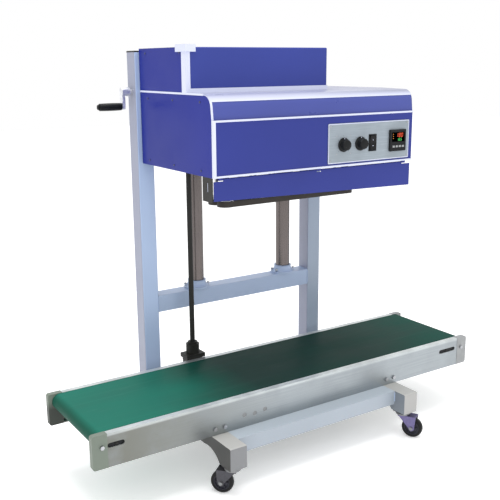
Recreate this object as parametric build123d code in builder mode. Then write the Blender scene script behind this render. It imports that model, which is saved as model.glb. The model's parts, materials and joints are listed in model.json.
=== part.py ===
from build123d import *
import math
import os

# Continuous band sealer: a wheeled column stand, a low belt conveyor and a sealing head that a
# hand crank raises and lowers on two round posts.
# Millimetres, +X along the conveyor, -Y the operator's side, +Z up.
# Origin: on the floor, under the middle of the machine.

# ---- driving dimensions ------------------------------------------------------------------
SHEET = 2.0                      # casing sheet
FIT = 0.05                       # radial clearance of a running fit
GAP = 0.3                        # clearance between faces that move past each other

# stand
BAR = 60.0                       # square section of columns, crossbars and feet
WALL = 3.0
BAR_EDGE = 4.0                   # rounding of the tubes' long edges
LEFT_X = -347.0                  # centre of the left foot and column
RIGHT_X = 378.0
COLUMN_Y = 279.0
COLUMN_TOP = 1353.0
FOOT_HALF = 320.0
FOOT_TOP = 170.0
FOOT_BOTTOM = 96.0
FOOT_WAIST = 128.0               # underside of the foot between its two pads
FOOT_PAD_Y = 255.0               # inner end of a pad
FOOT_ARCH_Y = 165.0              # where the arch above the pad ends
BEAM_LOW = 120.0
BEAM_Y = -240.0
MID_BAR_Z = 480.0
UPPER_BAR_Z = 1170.0
CAP_T = 5.0                      # column cap above the tube, and its plug below
CAP_PLUG = 15.0

# guide posts and lift
POST_X = (-144.0, 246.0)
POST_R = 27.0
SCREW_X = 51.0
SCREW_R = 10.0
SCREW_LOW = 860.0
NUT_LOW = 1070.0
CRANK_Z = 1225.0
CRANK_R = 8.0
CRANK_ARM = 48.0
CRANK_HUB_X = LEFT_X - BAR / 2 - 25
GRIP_LENGTH = 80.0
GRIP_R = 12.0
GRIP_PIN_R = 5.0
SOCKET_R = 47.0                  # flange at the foot of each guide post
SOCKET_BOLT = (40.0, 15.0)       # its four bolts, from the post's centre
BEVEL_OUT = 20.0                 # large radius and cone distance of the bevel gears
BEVEL_IN = 12.0

# conveyor
CONVEYOR_Y = -20.0
CONVEYOR_HALF = 775.0
RAIL_HALF = 727.0
RAIL_TOP = 276.0
RAIL_OUT = 190.0                 # conveyor centre to the outer face of a rail
RAIL_T = 20.0
RAIL_WEB = 4.0
RAIL_SLOTS = ((-700.0, 55.0), (672.0, 84.0))  # take-up slots of a rail: middle and length
RAIL_SLOT_H = 15.0
RAIL_BOLT_X = 745.0
RAIL_BOLT_Z = 238.0
CAP_SKIN = 4.0                   # what is left outside the blind journal hole of an end cap
BED_T = 2.0
BED_HALF = 690.0
BED_SUPPORTS = (-600.0, -320.0, 0.0, 300.0, 600.0)
BELT_T = 2.0
BELT_HALF = 168.0
ROLLER_R = 24.0
ROLLER_X = 737.0
DRUM_R = 26.0
DRUM_X = -214.0
DRUM_Z = 208.0
SNUB_R = 12.0
JOURNAL_R = 8.0
ROD_Y = 196.0                    # vertical drive shaft that turns the drum
ROD_R = 9.0
ROD_TOP = 1120.0

# sealing head
HEAD_L = -361.0
HEAD_R = 435.0
HEAD_FRONT = -214.0
HEAD_BACK = 246.0
HEAD_LOW = 987.0
HOOD_LINE = 1155.0
HOOD_TOP = 1227.0
HOOD_NOSE = -206.0
HOOD_RADIUS = 35.0
BOX_TOP = 1364.0
BOX_FRONT = -68.0
BOX_R = 179.0
BOX_CAP = (33.0, 56.0, 22.0)     # corner cap of the box: along X, along Y, and its height
SKIN_T = 1.2                     # light sheet over the hood
SKIN_LOW = 1207.0                # how far down the nose it reaches
SKIN_EDGE = 7.0                  # its strip down the left end of the slope
TRIM_T = 2.0
TRIM_W = 6.0
PANEL_L = -351.0
PANEL_R = 431.0
PANEL_FRONT = -220.0
PLATE_L = 64.0
PLATE_R = 415.0
PLATE_LOW = 998.0
PLATE_TOP = 1126.0
PLATE_FRONT = -222.0
KNOB_X = 128.0
KNOB_R = 23.0
SELECTOR_X = 199.0
ROCKER_X = 251.0
ROCKER = (24.0, 50.0)            # width and height
ROCKER_PIVOT_Y = -218.0
CONTROL_Z = 1057.0
METER_X = 360.0
METER_Z = 1059.0
METER = 72.0
HINGE_Y = -208.0
HINGE_Z = 981.0
HINGE_PIN_R = 1.5
HINGE_EARS = (-330.0, 37.0, 405.0)
EAR_HALF = 8.0
GUARD_LOW = (917.0, 900.0)       # lower edge of the guard at its left and right ends
GUARD_LIP = 6.0
GUARD_T = 1.5
MOTOR_X = 300.0
MOTOR_Y = 110.0

# sealing bands
SEAL_Y = -150.0
BAND_T = 1.0
BAND_AXIS = 26.3                 # seal plane to the band wheels' axes: leaves 0.6 mm for the bag film
BAND_WHEEL_R = 25.0
BAND_WHEEL_X = (-294.0, 172.0)
BAND_LOW = 893.0
BAND_HIGH = 911.0
SPINDLE_R = 6.0
GUIDE_LOW = 914.0                # lower edge of the infeed guide

# casters
CASTER_Y = 285.0
WHEEL_R = 37.5
TRAIL = 35.0
FORK_HALF = 17.0                 # wheel centre to the middle of a fork leg
CASTER_PLATE = 28.0              # half the side of the top plate
CASTER_PLATE_T = 4.0
CASTERS = (
    ("front_left", LEFT_X, -CASTER_Y, 130.0),
    ("front_right", RIGHT_X, -CASTER_Y, -60.0),
    ("rear_left", LEFT_X, CASTER_Y, 205.0),
    ("rear_right", RIGHT_X, CASTER_Y, 62.0),
)

os.makedirs("parts", exist_ok=True)


def save(builder, name):
    builder.part.label = name
    export_step(builder.part, f"parts/{name}.step")


def box_at(low, high, mode=Mode.ADD):
    """A box between two opposite corners, inside the current BuildPart."""
    size = [b - a for a, b in zip(low, high)]
    middle = [(a + b) / 2 for a, b in zip(low, high)]
    with Locations(tuple(middle)):
        Box(*size, mode=mode)


def rod_x(x0, x1, y, z, r, mode=Mode.ADD):
    with BuildSketch(Plane(origin=(x0, y, z), x_dir=(0, 1, 0), z_dir=(1, 0, 0))) as disc:
        Circle(r)
    extrude(disc.sketch, amount=x1 - x0, mode=mode)


def rod_y(y0, y1, x, z, r, mode=Mode.ADD):
    with BuildSketch(Plane(origin=(x, y0, z), x_dir=(0, 0, 1), z_dir=(0, 1, 0))) as disc:
        Circle(r)
    extrude(disc.sketch, amount=y1 - y0, mode=mode)


def rod_z(z0, z1, x, y, r, mode=Mode.ADD):
    with BuildSketch(Plane.XY.offset(z0)) as disc:
        with Locations((x, y)):
            Circle(r)
    extrude(disc.sketch, amount=z1 - z0, mode=mode)


# ---- stand ---------------------------------------------------------------------------------
def feet():
    arch = (0.7 * FOOT_PAD_Y + 0.3 * FOOT_ARCH_Y, 0.72 * FOOT_WAIST + 0.28 * FOOT_BOTTOM)
    stem_depth = 24
    with BuildPart() as feet_pair:
        for x in (LEFT_X, RIGHT_X):
            with BuildSketch(Plane.YZ.offset(x - BAR / 2)):
                with BuildLine():
                    Line((-FOOT_HALF, FOOT_BOTTOM), (-FOOT_HALF, FOOT_TOP))
                    Line((-FOOT_HALF, FOOT_TOP), (FOOT_HALF, FOOT_TOP))
                    Line((FOOT_HALF, FOOT_TOP), (FOOT_HALF, FOOT_BOTTOM))
                    Line((FOOT_HALF, FOOT_BOTTOM), (FOOT_PAD_Y, FOOT_BOTTOM))
                    ThreePointArc((FOOT_PAD_Y, FOOT_BOTTOM), arch, (FOOT_ARCH_Y, FOOT_WAIST))
                    Line((FOOT_ARCH_Y, FOOT_WAIST), (-FOOT_ARCH_Y, FOOT_WAIST))
                    ThreePointArc((-FOOT_ARCH_Y, FOOT_WAIST), (-arch[0], arch[1]), (-FOOT_PAD_Y, FOOT_BOTTOM))
                    Line((-FOOT_PAD_Y, FOOT_BOTTOM), (-FOOT_HALF, FOOT_BOTTOM))
                make_face()
            extrude(amount=BAR)
            for y in (-CASTER_Y, CASTER_Y):
                rod_z(FOOT_BOTTOM, FOOT_BOTTOM + stem_depth, x, y, 9, Mode.SUBTRACT)
        fillet(feet_pair.edges().filter_by(Axis.X).group_by(Axis.Z)[-1], BAR_EDGE)
    save(feet_pair, "feet")


def square_tube_x(x0, x1, y, z0, z1):
    box_at((x0, y - BAR / 2, z0), (x1, y + BAR / 2, z1))
    inner = BAR / 2 - WALL
    box_at((x0, y - inner, z0 + WALL), (x1, y + inner, z1 - WALL), Mode.SUBTRACT)


def base_beams():
    inner = BAR / 2 - WALL
    left = LEFT_X + BAR / 2
    right = RIGHT_X - BAR / 2
    with BuildPart() as beams:
        for y in (BEAM_Y, COLUMN_Y):
            box_at((left, y - BAR / 2, BEAM_LOW), (right, y + BAR / 2, FOOT_TOP))
        for y in (BEAM_Y, COLUMN_Y):
            low = (left, y - inner, BEAM_LOW + WALL)
            box_at(low, (right, y + inner, FOOT_TOP - WALL), Mode.SUBTRACT)
    save(beams, "base_beams")


def columns():
    inner = BAR / 2 - WALL
    with BuildPart() as pair:
        for x in (LEFT_X, RIGHT_X):
            low = (x - BAR / 2, COLUMN_Y - BAR / 2, FOOT_TOP)
            box_at(low, (x + BAR / 2, COLUMN_Y + BAR / 2, COLUMN_TOP))
        fillet(pair.edges().filter_by(Axis.Z), BAR_EDGE)
        for x in (LEFT_X, RIGHT_X):
            low = (x - inner, COLUMN_Y - inner, FOOT_TOP)
            box_at(low, (x + inner, COLUMN_Y + inner, COLUMN_TOP), Mode.SUBTRACT)
        rod_x(LEFT_X - BAR, LEFT_X + BAR, COLUMN_Y, CRANK_Z, CRANK_R + FIT, Mode.SUBTRACT)
    save(pair, "columns")


def column_caps():
    inner = BAR / 2 - WALL
    with BuildPart() as caps:
        for x in (LEFT_X, RIGHT_X):
            low = (x - BAR / 2, COLUMN_Y - BAR / 2, COLUMN_TOP)
            box_at(low, (x + BAR / 2, COLUMN_Y + BAR / 2, COLUMN_TOP + CAP_T))
        chamfer(caps.edges().group_by(Axis.Z)[-1], 2)
        for x in (LEFT_X, RIGHT_X):
            low = (x - inner, COLUMN_Y - inner, COLUMN_TOP - CAP_PLUG)
            box_at(low, (x + inner, COLUMN_Y + inner, COLUMN_TOP))
    save(caps, "column_caps")


def crossbar(name, z, holes):
    with BuildPart() as bar:
        square_tube_x(LEFT_X + BAR / 2, RIGHT_X - BAR / 2, COLUMN_Y, z - BAR / 2, z + BAR / 2)
        for x, r in holes:
            rod_z(z - BAR, z + BAR, x, COLUMN_Y, r, Mode.SUBTRACT)
    save(bar, name)


def post_sockets():
    low = MID_BAR_Z + BAR / 2
    flange = low + 7
    collar_r = POST_R + 7
    top = low + 30
    with BuildPart() as sockets:
        for x in POST_X:
            with BuildSketch(Plane(origin=(x, COLUMN_Y, 0), x_dir=(1, 0, 0), z_dir=(0, -1, 0))):
                with BuildLine():
                    Line((POST_R, low), (SOCKET_R, low))
                    Line((SOCKET_R, low), (SOCKET_R, flange))
                    ThreePointArc((SOCKET_R, flange), (collar_r + 3, flange + 6), (collar_r, top))
                    Line((collar_r, top), (POST_R, top))
                    Line((POST_R, top), (POST_R, low))
                make_face()
            revolve(axis=Axis((x, COLUMN_Y, 0), (0, 0, 1)))
            for dx in (-SOCKET_BOLT[0], SOCKET_BOLT[0]):
                for dy in (-SOCKET_BOLT[1], SOCKET_BOLT[1]):
                    rod_z(low, top, x + dx, COLUMN_Y + dy, 3.5, Mode.SUBTRACT)
    save(sockets, "post_sockets")


def guide_posts():
    with BuildPart() as posts:
        for x in POST_X:
            rod_z(MID_BAR_Z + BAR / 2, UPPER_BAR_Z - BAR / 2, x, COLUMN_Y, POST_R)
        chamfer(posts.edges().filter_by(GeomType.CIRCLE).group_by(Axis.Z)[-1], 1.5)
    save(posts, "guide_posts")


# ---- lift ----------------------------------------------------------------------------------
def lift_gearbox():
    low = UPPER_BAR_Z + BAR / 2
    top = low + 56
    left = SCREW_X - 45
    right = SCREW_X + 30
    half = 29
    wall = 5
    middle = (left + right) / 2
    with BuildPart() as housing:
        box_at((left, COLUMN_Y - half, low), (right, COLUMN_Y + half, top))
        fillet(housing.edges().filter_by(Axis.Z), 6)
        inside = (left + wall, COLUMN_Y - half + wall, low + wall)
        box_at(inside, (right - wall, COLUMN_Y + half - wall, top - wall), Mode.SUBTRACT)
        rod_x(left - wall, left + 2 * wall, COLUMN_Y, CRANK_Z, CRANK_R + FIT, Mode.SUBTRACT)
        rod_z(low - wall, low + 2 * wall, SCREW_X, COLUMN_Y, SCREW_R + FIT, Mode.SUBTRACT)
        with BuildSketch(Plane.XY.offset(low)):
            with Locations((middle, COLUMN_Y)):
                Rectangle(right - left + 24, 40)
                Rectangle(right - left, 2 * half, mode=Mode.SUBTRACT)
        extrude(amount=6)
    save(housing, "lift_gearbox")


def bevel_blank(apex, axis, out, small):
    """Half of a right-angle bevel pair, its teeth left as a plain cone."""
    shrink = 0.5
    plane = Plane(origin=apex, z_dir=axis)
    x = plane.x_dir
    section = Plane(origin=apex, x_dir=x, z_dir=x.cross(Vector(*axis)))
    with BuildSketch(section) as cone:
        with BuildLine():
            Polyline((0, out), (out - shrink, out), (small - shrink, small), (0, small), (0, out))
        make_face()
    revolve(cone.sketch, axis=Axis(apex, axis))


def lift_screw():
    with BuildPart() as screw:
        rod_z(SCREW_LOW, CRANK_Z - BEVEL_IN, SCREW_X, COLUMN_Y, SCREW_R)
        chamfer(screw.faces().sort_by(Axis.Z)[0].edges(), 2)
        bevel_blank((SCREW_X, COLUMN_Y, CRANK_Z), (0, 0, -1), BEVEL_OUT, BEVEL_IN)
    save(screw, "lift_screw")


def crank():
    grip_z = CRANK_Z - CRANK_ARM
    hub_r = 15
    arm_t = 10
    outer = CRANK_HUB_X - 14
    pin_end = outer - GRIP_LENGTH - 2 * GAP
    with BuildPart() as arm:
        rod_x(CRANK_HUB_X, SCREW_X - BEVEL_IN, COLUMN_Y, CRANK_Z, CRANK_R)
        bevel_blank((SCREW_X, COLUMN_Y, CRANK_Z), (-1, 0, 0), BEVEL_OUT, BEVEL_IN)
        rod_x(outer, CRANK_HUB_X + 14, COLUMN_Y, CRANK_Z, hub_r)
        with BuildSketch(Plane.YZ.offset(outer)):
            with Locations((COLUMN_Y, CRANK_Z - CRANK_ARM / 2)):
                SlotCenterToCenter(CRANK_ARM, 22, rotation=90)
        extrude(amount=arm_t)
        rod_x(pin_end, outer + arm_t, COLUMN_Y, grip_z, GRIP_PIN_R)
        rod_x(pin_end - 4, pin_end, COLUMN_Y, grip_z, GRIP_PIN_R + 3)
    save(arm, "crank")
    with BuildPart() as grip:
        section = Plane(origin=(0, COLUMN_Y, grip_z), x_dir=(1, 0, 0), z_dir=(0, -1, 0))
        left = pin_end + GAP
        right = outer - GAP
        bore = GRIP_PIN_R + FIT
        with BuildSketch(section):
            with BuildLine():
                Line((left, bore), (left, GRIP_R - 2))
                Line((left, GRIP_R - 2), (left + 2, GRIP_R))
                ThreePointArc((left + 2, GRIP_R), ((left + right) / 2, GRIP_R + 0.8), (right - 2, GRIP_R))
                Line((right - 2, GRIP_R), (right, GRIP_R - 2))
                Line((right, GRIP_R - 2), (right, bore))
                Line((right, bore), (left, bore))
            make_face()
        revolve(axis=Axis((0, COLUMN_Y, grip_z), (1, 0, 0)))
    save(grip, "crank_grip")


# ---- conveyor ------------------------------------------------------------------------------
def rail(name, side, holes):
    """A channel with its web outside; side is -1 for the front rail, +1 for the rear."""
    outer = CONVEYOR_Y + side * RAIL_OUT
    web = outer - side * RAIL_WEB
    lip = outer - side * RAIL_T
    y0, y1 = sorted((outer, web))
    f0, f1 = sorted((outer, lip))
    with BuildPart() as channel:
        box_at((-RAIL_HALF, y0, FOOT_TOP), (RAIL_HALF, y1, RAIL_TOP))
        box_at((-RAIL_HALF, f0, RAIL_TOP - 4), (RAIL_HALF, f1, RAIL_TOP))
        box_at((-RAIL_HALF, f0, FOOT_TOP), (RAIL_HALF, f1, FOOT_TOP + 4))
        for x, z, r in holes:
            rod_y(y0 - 1, y1 + 1, x, z, r, Mode.SUBTRACT)
        with BuildSketch(Plane(origin=(0, y0 - 1, 0), x_dir=(-1, 0, 0), z_dir=(0, 1, 0))):
            for x, length in RAIL_SLOTS:
                with Locations((-x, RAIL_BOLT_Z)):
                    SlotOverall(length, RAIL_SLOT_H)
        extrude(amount=RAIL_WEB + 2, mode=Mode.SUBTRACT)
    save(channel, name)


def rail_end_caps():
    with BuildPart() as caps:
        for side in (-1, 1):
            outer = CONVEYOR_Y + side * (RAIL_OUT + 1)
            inner = CONVEYOR_Y + side * (RAIL_OUT - RAIL_T)
            y0, y1 = sorted((outer, inner))
            for end in (-1, 1):
                x0, x1 = sorted((end * RAIL_HALF, end * CONVEYOR_HALF))
                box_at((x0, y0, FOOT_TOP), (x1, y1, RAIL_TOP + 1))
        fillet(caps.edges().filter_by(Axis.Y).group_by(Axis.X)[0], 8)
        fillet(caps.edges().filter_by(Axis.Y).group_by(Axis.X)[-1], 8)
        depth = RAIL_OUT - CAP_SKIN
        for end in (-1, 1):
            z = RAIL_TOP - BELT_T - ROLLER_R
            rod_y(CONVEYOR_Y - depth, CONVEYOR_Y + depth, end * ROLLER_X, z, JOURNAL_R + FIT, Mode.SUBTRACT)
    save(caps, "rail_end_caps")


def slider_bed():
    half = BELT_HALF - 2
    web = RAIL_OUT - RAIL_WEB
    top = RAIL_TOP - BELT_T - 0.5
    with BuildPart() as bed:
        box_at((-BED_HALF, CONVEYOR_Y - half, top - BED_T), (BED_HALF, CONVEYOR_Y + half, top))
        for x in BED_SUPPORTS:
            low = (x - 15, CONVEYOR_Y - web, top - BED_T - 20)
            box_at(low, (x + 15, CONVEYOR_Y + web, top - BED_T))
    save(bed, "slider_bed")


def conveyor_belt():
    top = RAIL_TOP - BELT_T / 2
    mid_r = ROLLER_R + BELT_T / 2
    low = top - 2 * mid_r
    axis_z = top - mid_r
    turn = DRUM_R + BELT_T / 2
    snub = SNUB_R + BELT_T / 2
    left = DRUM_X - turn
    right = DRUM_X + turn
    across = Plane(origin=(0, CONVEYOR_Y + BELT_HALF, 0), x_dir=(1, 0, 0), z_dir=(0, -1, 0))
    with BuildPart() as belt:
        with BuildSketch(across):
            with BuildLine():
                Line((-ROLLER_X, top), (ROLLER_X, top))
                ThreePointArc((ROLLER_X, top), (ROLLER_X + mid_r, axis_z), (ROLLER_X, low))
                Line((ROLLER_X, low), (right + snub, low))
                s = snub * math.sqrt(0.5)
                ThreePointArc((right + snub, low), (right + snub - s, low - snub + s), (right, low - snub))
                Line((right, low - snub), (right, DRUM_Z))
                ThreePointArc((right, DRUM_Z), (DRUM_X, DRUM_Z - turn), (left, DRUM_Z))
                Line((left, DRUM_Z), (left, low - snub))
                ThreePointArc((left, low - snub), (left - snub + s, low - snub + s), (left - snub, low))
                Line((left - snub, low), (-ROLLER_X, low))
                ThreePointArc((-ROLLER_X, low), (-ROLLER_X - mid_r, axis_z), (-ROLLER_X, top))
            make_face()
            outline = offset(amount=BELT_T / 2)
            offset(outline, amount=-BELT_T, mode=Mode.SUBTRACT)
        extrude(amount=2 * BELT_HALF)
    save(belt, "conveyor_belt")


def roller(name, x, z, r, reach_front, reach_back, gear=False):
    face = BELT_HALF - 4
    with BuildPart() as drum:
        rod_y(CONVEYOR_Y - face, CONVEYOR_Y + face, x, z, r - GAP)
        chamfer(drum.edges().filter_by(GeomType.CIRCLE), 1)
        rod_y(CONVEYOR_Y - reach_front, CONVEYOR_Y + reach_back, x, z, JOURNAL_R)
        if gear:
            bevel_blank((x, ROD_Y, z), (0, -1, 0), BEVEL_OUT, BEVEL_IN)
    save(drum, name)


def conveyor_gearbox():
    back = CONVEYOR_Y + RAIL_OUT
    half = 28
    wall = 6
    hollow = 24
    flange = RAIL_TOP + 1
    neck = flange + 15
    with BuildPart() as housing:
        box_at((DRUM_X - half, back, DRUM_Z - 28), (DRUM_X + half, ROD_Y + 30, flange + 11))
        fillet(housing.edges().filter_by(Axis.Z), 6)
        box_at((DRUM_X - half - 9, back, flange), (DRUM_X + half + 9, ROD_Y + 26, neck))
        rod_z(neck, neck + 36, DRUM_X, ROD_Y, 24)
        rod_z(neck + 36, neck + 44, DRUM_X, ROD_Y, 17)
        low = (DRUM_X - hollow, back + wall, DRUM_Z - hollow)
        box_at(low, (DRUM_X + hollow, ROD_Y + hollow, DRUM_Z + hollow), Mode.SUBTRACT)
        rod_z(DRUM_Z, neck + 60, DRUM_X, ROD_Y, ROD_R + FIT, Mode.SUBTRACT)
        rod_y(back - wall, back + 2 * wall, DRUM_X, DRUM_Z, JOURNAL_R + FIT, Mode.SUBTRACT)
    save(housing, "conveyor_gearbox")


def drive_shaft():
    with BuildPart() as shaft:
        rod_z(DRUM_Z + BEVEL_IN, ROD_TOP, DRUM_X, ROD_Y, ROD_R)
        chamfer(shaft.faces().sort_by(Axis.Z)[-1].edges(), 1)
        bevel_blank((DRUM_X, ROD_Y, DRUM_Z), (0, 0, 1), BEVEL_OUT, BEVEL_IN)
    save(shaft, "drive_shaft")


def bolt_head_y(x, y, z, side):
    """A hexagon head of an M8 bolt on a face that looks along side * Y."""
    with BuildSketch(Plane(origin=(x, y, z), x_dir=(1, 0, 0), z_dir=(0, side, 0))) as hexagon:
        RegularPolygon(7, 6)
    extrude(hexagon.sketch, amount=6)


def frame_bolts():
    with BuildPart() as bolts:
        for side in (-1, 1):
            for x in (-RAIL_BOLT_X, RAIL_BOLT_X):
                bolt_head_y(x, CONVEYOR_Y + side * (RAIL_OUT + 1), RAIL_BOLT_Z, side)
            for foot in (LEFT_X, RIGHT_X):
                for x in (foot - 18, foot + 18):
                    bolt_head_y(x, CONVEYOR_Y + side * RAIL_OUT, FOOT_TOP + 22, side)
        for x in POST_X:
            for dx in (-SOCKET_BOLT[0], SOCKET_BOLT[0]):
                for dy in (-SOCKET_BOLT[1], SOCKET_BOLT[1]):
                    with BuildSketch(Plane.XY.offset(MID_BAR_Z + BAR / 2 + 13)):
                        with Locations((x + dx, COLUMN_Y + dy)):
                            RegularPolygon(5.5, 6)
                    extrude(amount=5)
    save(bolts, "frame_bolts")


# ---- casters -------------------------------------------------------------------------------
def caster_plates():
    low = FOOT_BOTTOM - CASTER_PLATE_T
    half = CASTER_PLATE
    with BuildPart() as plates:
        for _, x, y, _ in CASTERS:
            box_at((x - half, y - half, low), (x + half, y + half, FOOT_BOTTOM))
        fillet(plates.edges().filter_by(Axis.Z), 6)
        for _, x, y, _ in CASTERS:
            rod_z(low, FOOT_BOTTOM, x, y, 5 + FIT, Mode.SUBTRACT)
    save(plates, "caster_plates")


def caster(name, x, y, heading):
    turn = math.radians(heading)
    place = Plane(origin=(x, y, 0), x_dir=(math.cos(turn), math.sin(turn), 0), z_dir=(0, 0, 1))
    top = FOOT_BOTTOM - CASTER_PLATE_T - GAP
    axle_r = 4
    with BuildPart(place) as fork:
        with Locations((0, 0, top - 5)):
            Cylinder(24, 10)
        with Locations((0, 0, top + 6)):
            Cylinder(5, 12)
        with Locations((TRAIL / 2, 0, top - 12)):
            Box(TRAIL + 30, 2 * FORK_HALF + 3, 4)
        for side in (-1, 1):
            side_plane = place.from_local_coords((0, side * FORK_HALF, 0))
            leg = Plane(side_plane, x_dir=place.x_dir, z_dir=place.y_dir)
            with BuildSketch(leg):
                with BuildLine():
                    Polyline(
                        (-14, -(top - 10)), (TRAIL + 16, -(top - 10)), (TRAIL + 11, -WHEEL_R + 4),
                        (TRAIL, -WHEEL_R + 11), (TRAIL - 11, -WHEEL_R - 2), (-14, -(top - 10))
                    )
                make_face()
            extrude(amount=1.5, both=True)
        with Locations(Location((TRAIL, 0, WHEEL_R), (90, 0, 0))):
            Cylinder(axle_r, 2 * FORK_HALF + 4)
        for side in (-1, 1):
            with Locations(Location((TRAIL, side * (FORK_HALF + 3), WHEEL_R), (90, 0, 0))):
                Cylinder(7, 4)
    save(fork, f"caster_fork_{name}")
    axle = place.from_local_coords((TRAIL, 0, WHEEL_R))
    spin = place.y_dir
    bore = axle_r + FIT
    tread = 12
    shoulder = WHEEL_R - 3.5
    with BuildPart() as wheel:
        section = Plane(origin=axle, x_dir=spin, z_dir=spin.cross(Vector(0, 0, 1)))
        with BuildSketch(section):
            with BuildLine():
                Polyline(
                    (-14, bore), (14, bore), (14, 11), (9, 12), (9, 24), (tread, 26), (tread, shoulder)
                )
                ThreePointArc((tread, shoulder), (0, WHEEL_R), (-tread, shoulder))
                Polyline((-tread, shoulder), (-tread, 26), (-9, 24), (-9, 12), (-14, 11), (-14, bore))
            make_face()
        revolve(axis=Axis(axle, spin))
    save(wheel, f"caster_wheel_{name}")


# ---- sealing head: casing -------------------------------------------------------------------
def hood_outline():
    """The hood's outer line from the casing box forward and down to the white line."""
    return [(BOX_FRONT, HOOD_TOP), (HOOD_NOSE, HOOD_TOP - 3), (HEAD_FRONT, HOOD_LINE)]


def head_side(name, x, top, back_corner):
    outline = [(HEAD_FRONT, HEAD_LOW), (HEAD_BACK, HEAD_LOW), (HEAD_BACK, top)]
    with BuildPart() as side:
        with BuildSketch(Plane.YZ.offset(x)):
            with BuildLine():
                Polyline(*outline, *back_corner, *hood_outline(), (HEAD_FRONT, HEAD_LOW))
            make_face()
        extrude(amount=SHEET)
        nose = side.edges().filter_by(Axis.X).filter_by(
            lambda e: abs(e.center().Y - HOOD_NOSE) < 1 and e.center().Z > HOOD_LINE + 10
        )
        fillet(nose, HOOD_RADIUS)
    save(side, name)


def hood_cover():
    with BuildPart() as hood:
        with BuildSketch(Plane.YZ.offset(HEAD_L + SHEET)):
            with BuildLine():
                FilletPolyline(*hood_outline(), radius=HOOD_RADIUS)
                Line(hood_outline()[-1], (HEAD_FRONT + SHEET, HOOD_LINE))
                inner = [(BOX_FRONT, HOOD_TOP - SHEET), (HOOD_NOSE + 1.6, HOOD_TOP - 3 - SHEET)]
                FilletPolyline(*inner, (HEAD_FRONT + SHEET, HOOD_LINE), radius=HOOD_RADIUS - SHEET)
                Line((BOX_FRONT, HOOD_TOP), (BOX_FRONT, HOOD_TOP - SHEET))
            make_face()
        extrude(amount=HEAD_R - HEAD_L - 2 * SHEET)
        low = (BOX_R, BOX_FRONT, HOOD_TOP - SHEET)
        box_at(low, (HEAD_R - SHEET, HEAD_BACK - SHEET, HOOD_TOP))
    save(hood, "hood_cover")


def upper_cover():
    left = HEAD_L + SHEET
    back = HEAD_BACK - SHEET
    with BuildPart() as cover:
        box_at((left, BOX_FRONT, HOOD_TOP), (BOX_R, back, BOX_TOP))
        fillet(cover.edges().filter_by(Axis.Z).group_by(Axis.X)[-1].sort_by(Axis.Y)[0], 5)
        fillet(cover.edges().filter_by(Axis.X).group_by(Axis.Z)[-1].sort_by(Axis.Y)[0], 4)
        low = (left, BOX_FRONT + SHEET, HOOD_TOP)
        box_at(low, (BOX_R - SHEET, back, BOX_TOP - SHEET), Mode.SUBTRACT)
    save(cover, "upper_cover")


def rear_cover():
    left = HEAD_L + SHEET
    with BuildPart() as plate:
        y = HEAD_BACK - SHEET
        box_at((left, y, HEAD_LOW + 3), (HEAD_R - SHEET, HEAD_BACK, HOOD_TOP))
        box_at((left, y, HOOD_TOP), (BOX_R, HEAD_BACK, BOX_TOP))
        with BuildSketch(Plane(origin=(0, HEAD_BACK, 0), x_dir=(-1, 0, 0), z_dir=(0, 1, 0))):
            with Locations((90, 1290)):
                with GridLocations(60, 16, 4, 4):
                    SlotOverall(46, 6)
            with Locations((-345, 1180)):
                with GridLocations(60, 16, 2, 3):
                    SlotOverall(46, 6)
        extrude(amount=-2 * SHEET, mode=Mode.SUBTRACT)
    save(plate, "rear_cover")


def hood_skin(width, low):
    """The light sheet over the hood, from the box forward over the nose and down to a height."""
    corner = (HOOD_NOSE - SKIN_T, HOOD_TOP - 3 + SKIN_T)
    foot = (HEAD_FRONT - SKIN_T, HOOD_LINE)
    with BuildSketch(Plane.YZ.offset(HEAD_L)) as section:
        with BuildLine():
            FilletPolyline((BOX_FRONT, HOOD_TOP + SKIN_T), corner, foot, radius=HOOD_RADIUS + SKIN_T)
            Line(foot, (HEAD_FRONT, HOOD_LINE))
            FilletPolyline(*hood_outline(), radius=HOOD_RADIUS)
            Line((BOX_FRONT, HOOD_TOP), (BOX_FRONT, HOOD_TOP + SKIN_T))
        make_face()
        if low > HOOD_LINE:
            with Locations((HEAD_FRONT, HOOD_LINE)):
                Rectangle(60, 2 * (low - HOOD_LINE), mode=Mode.SUBTRACT)
    extrude(section.sketch, amount=width)


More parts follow.
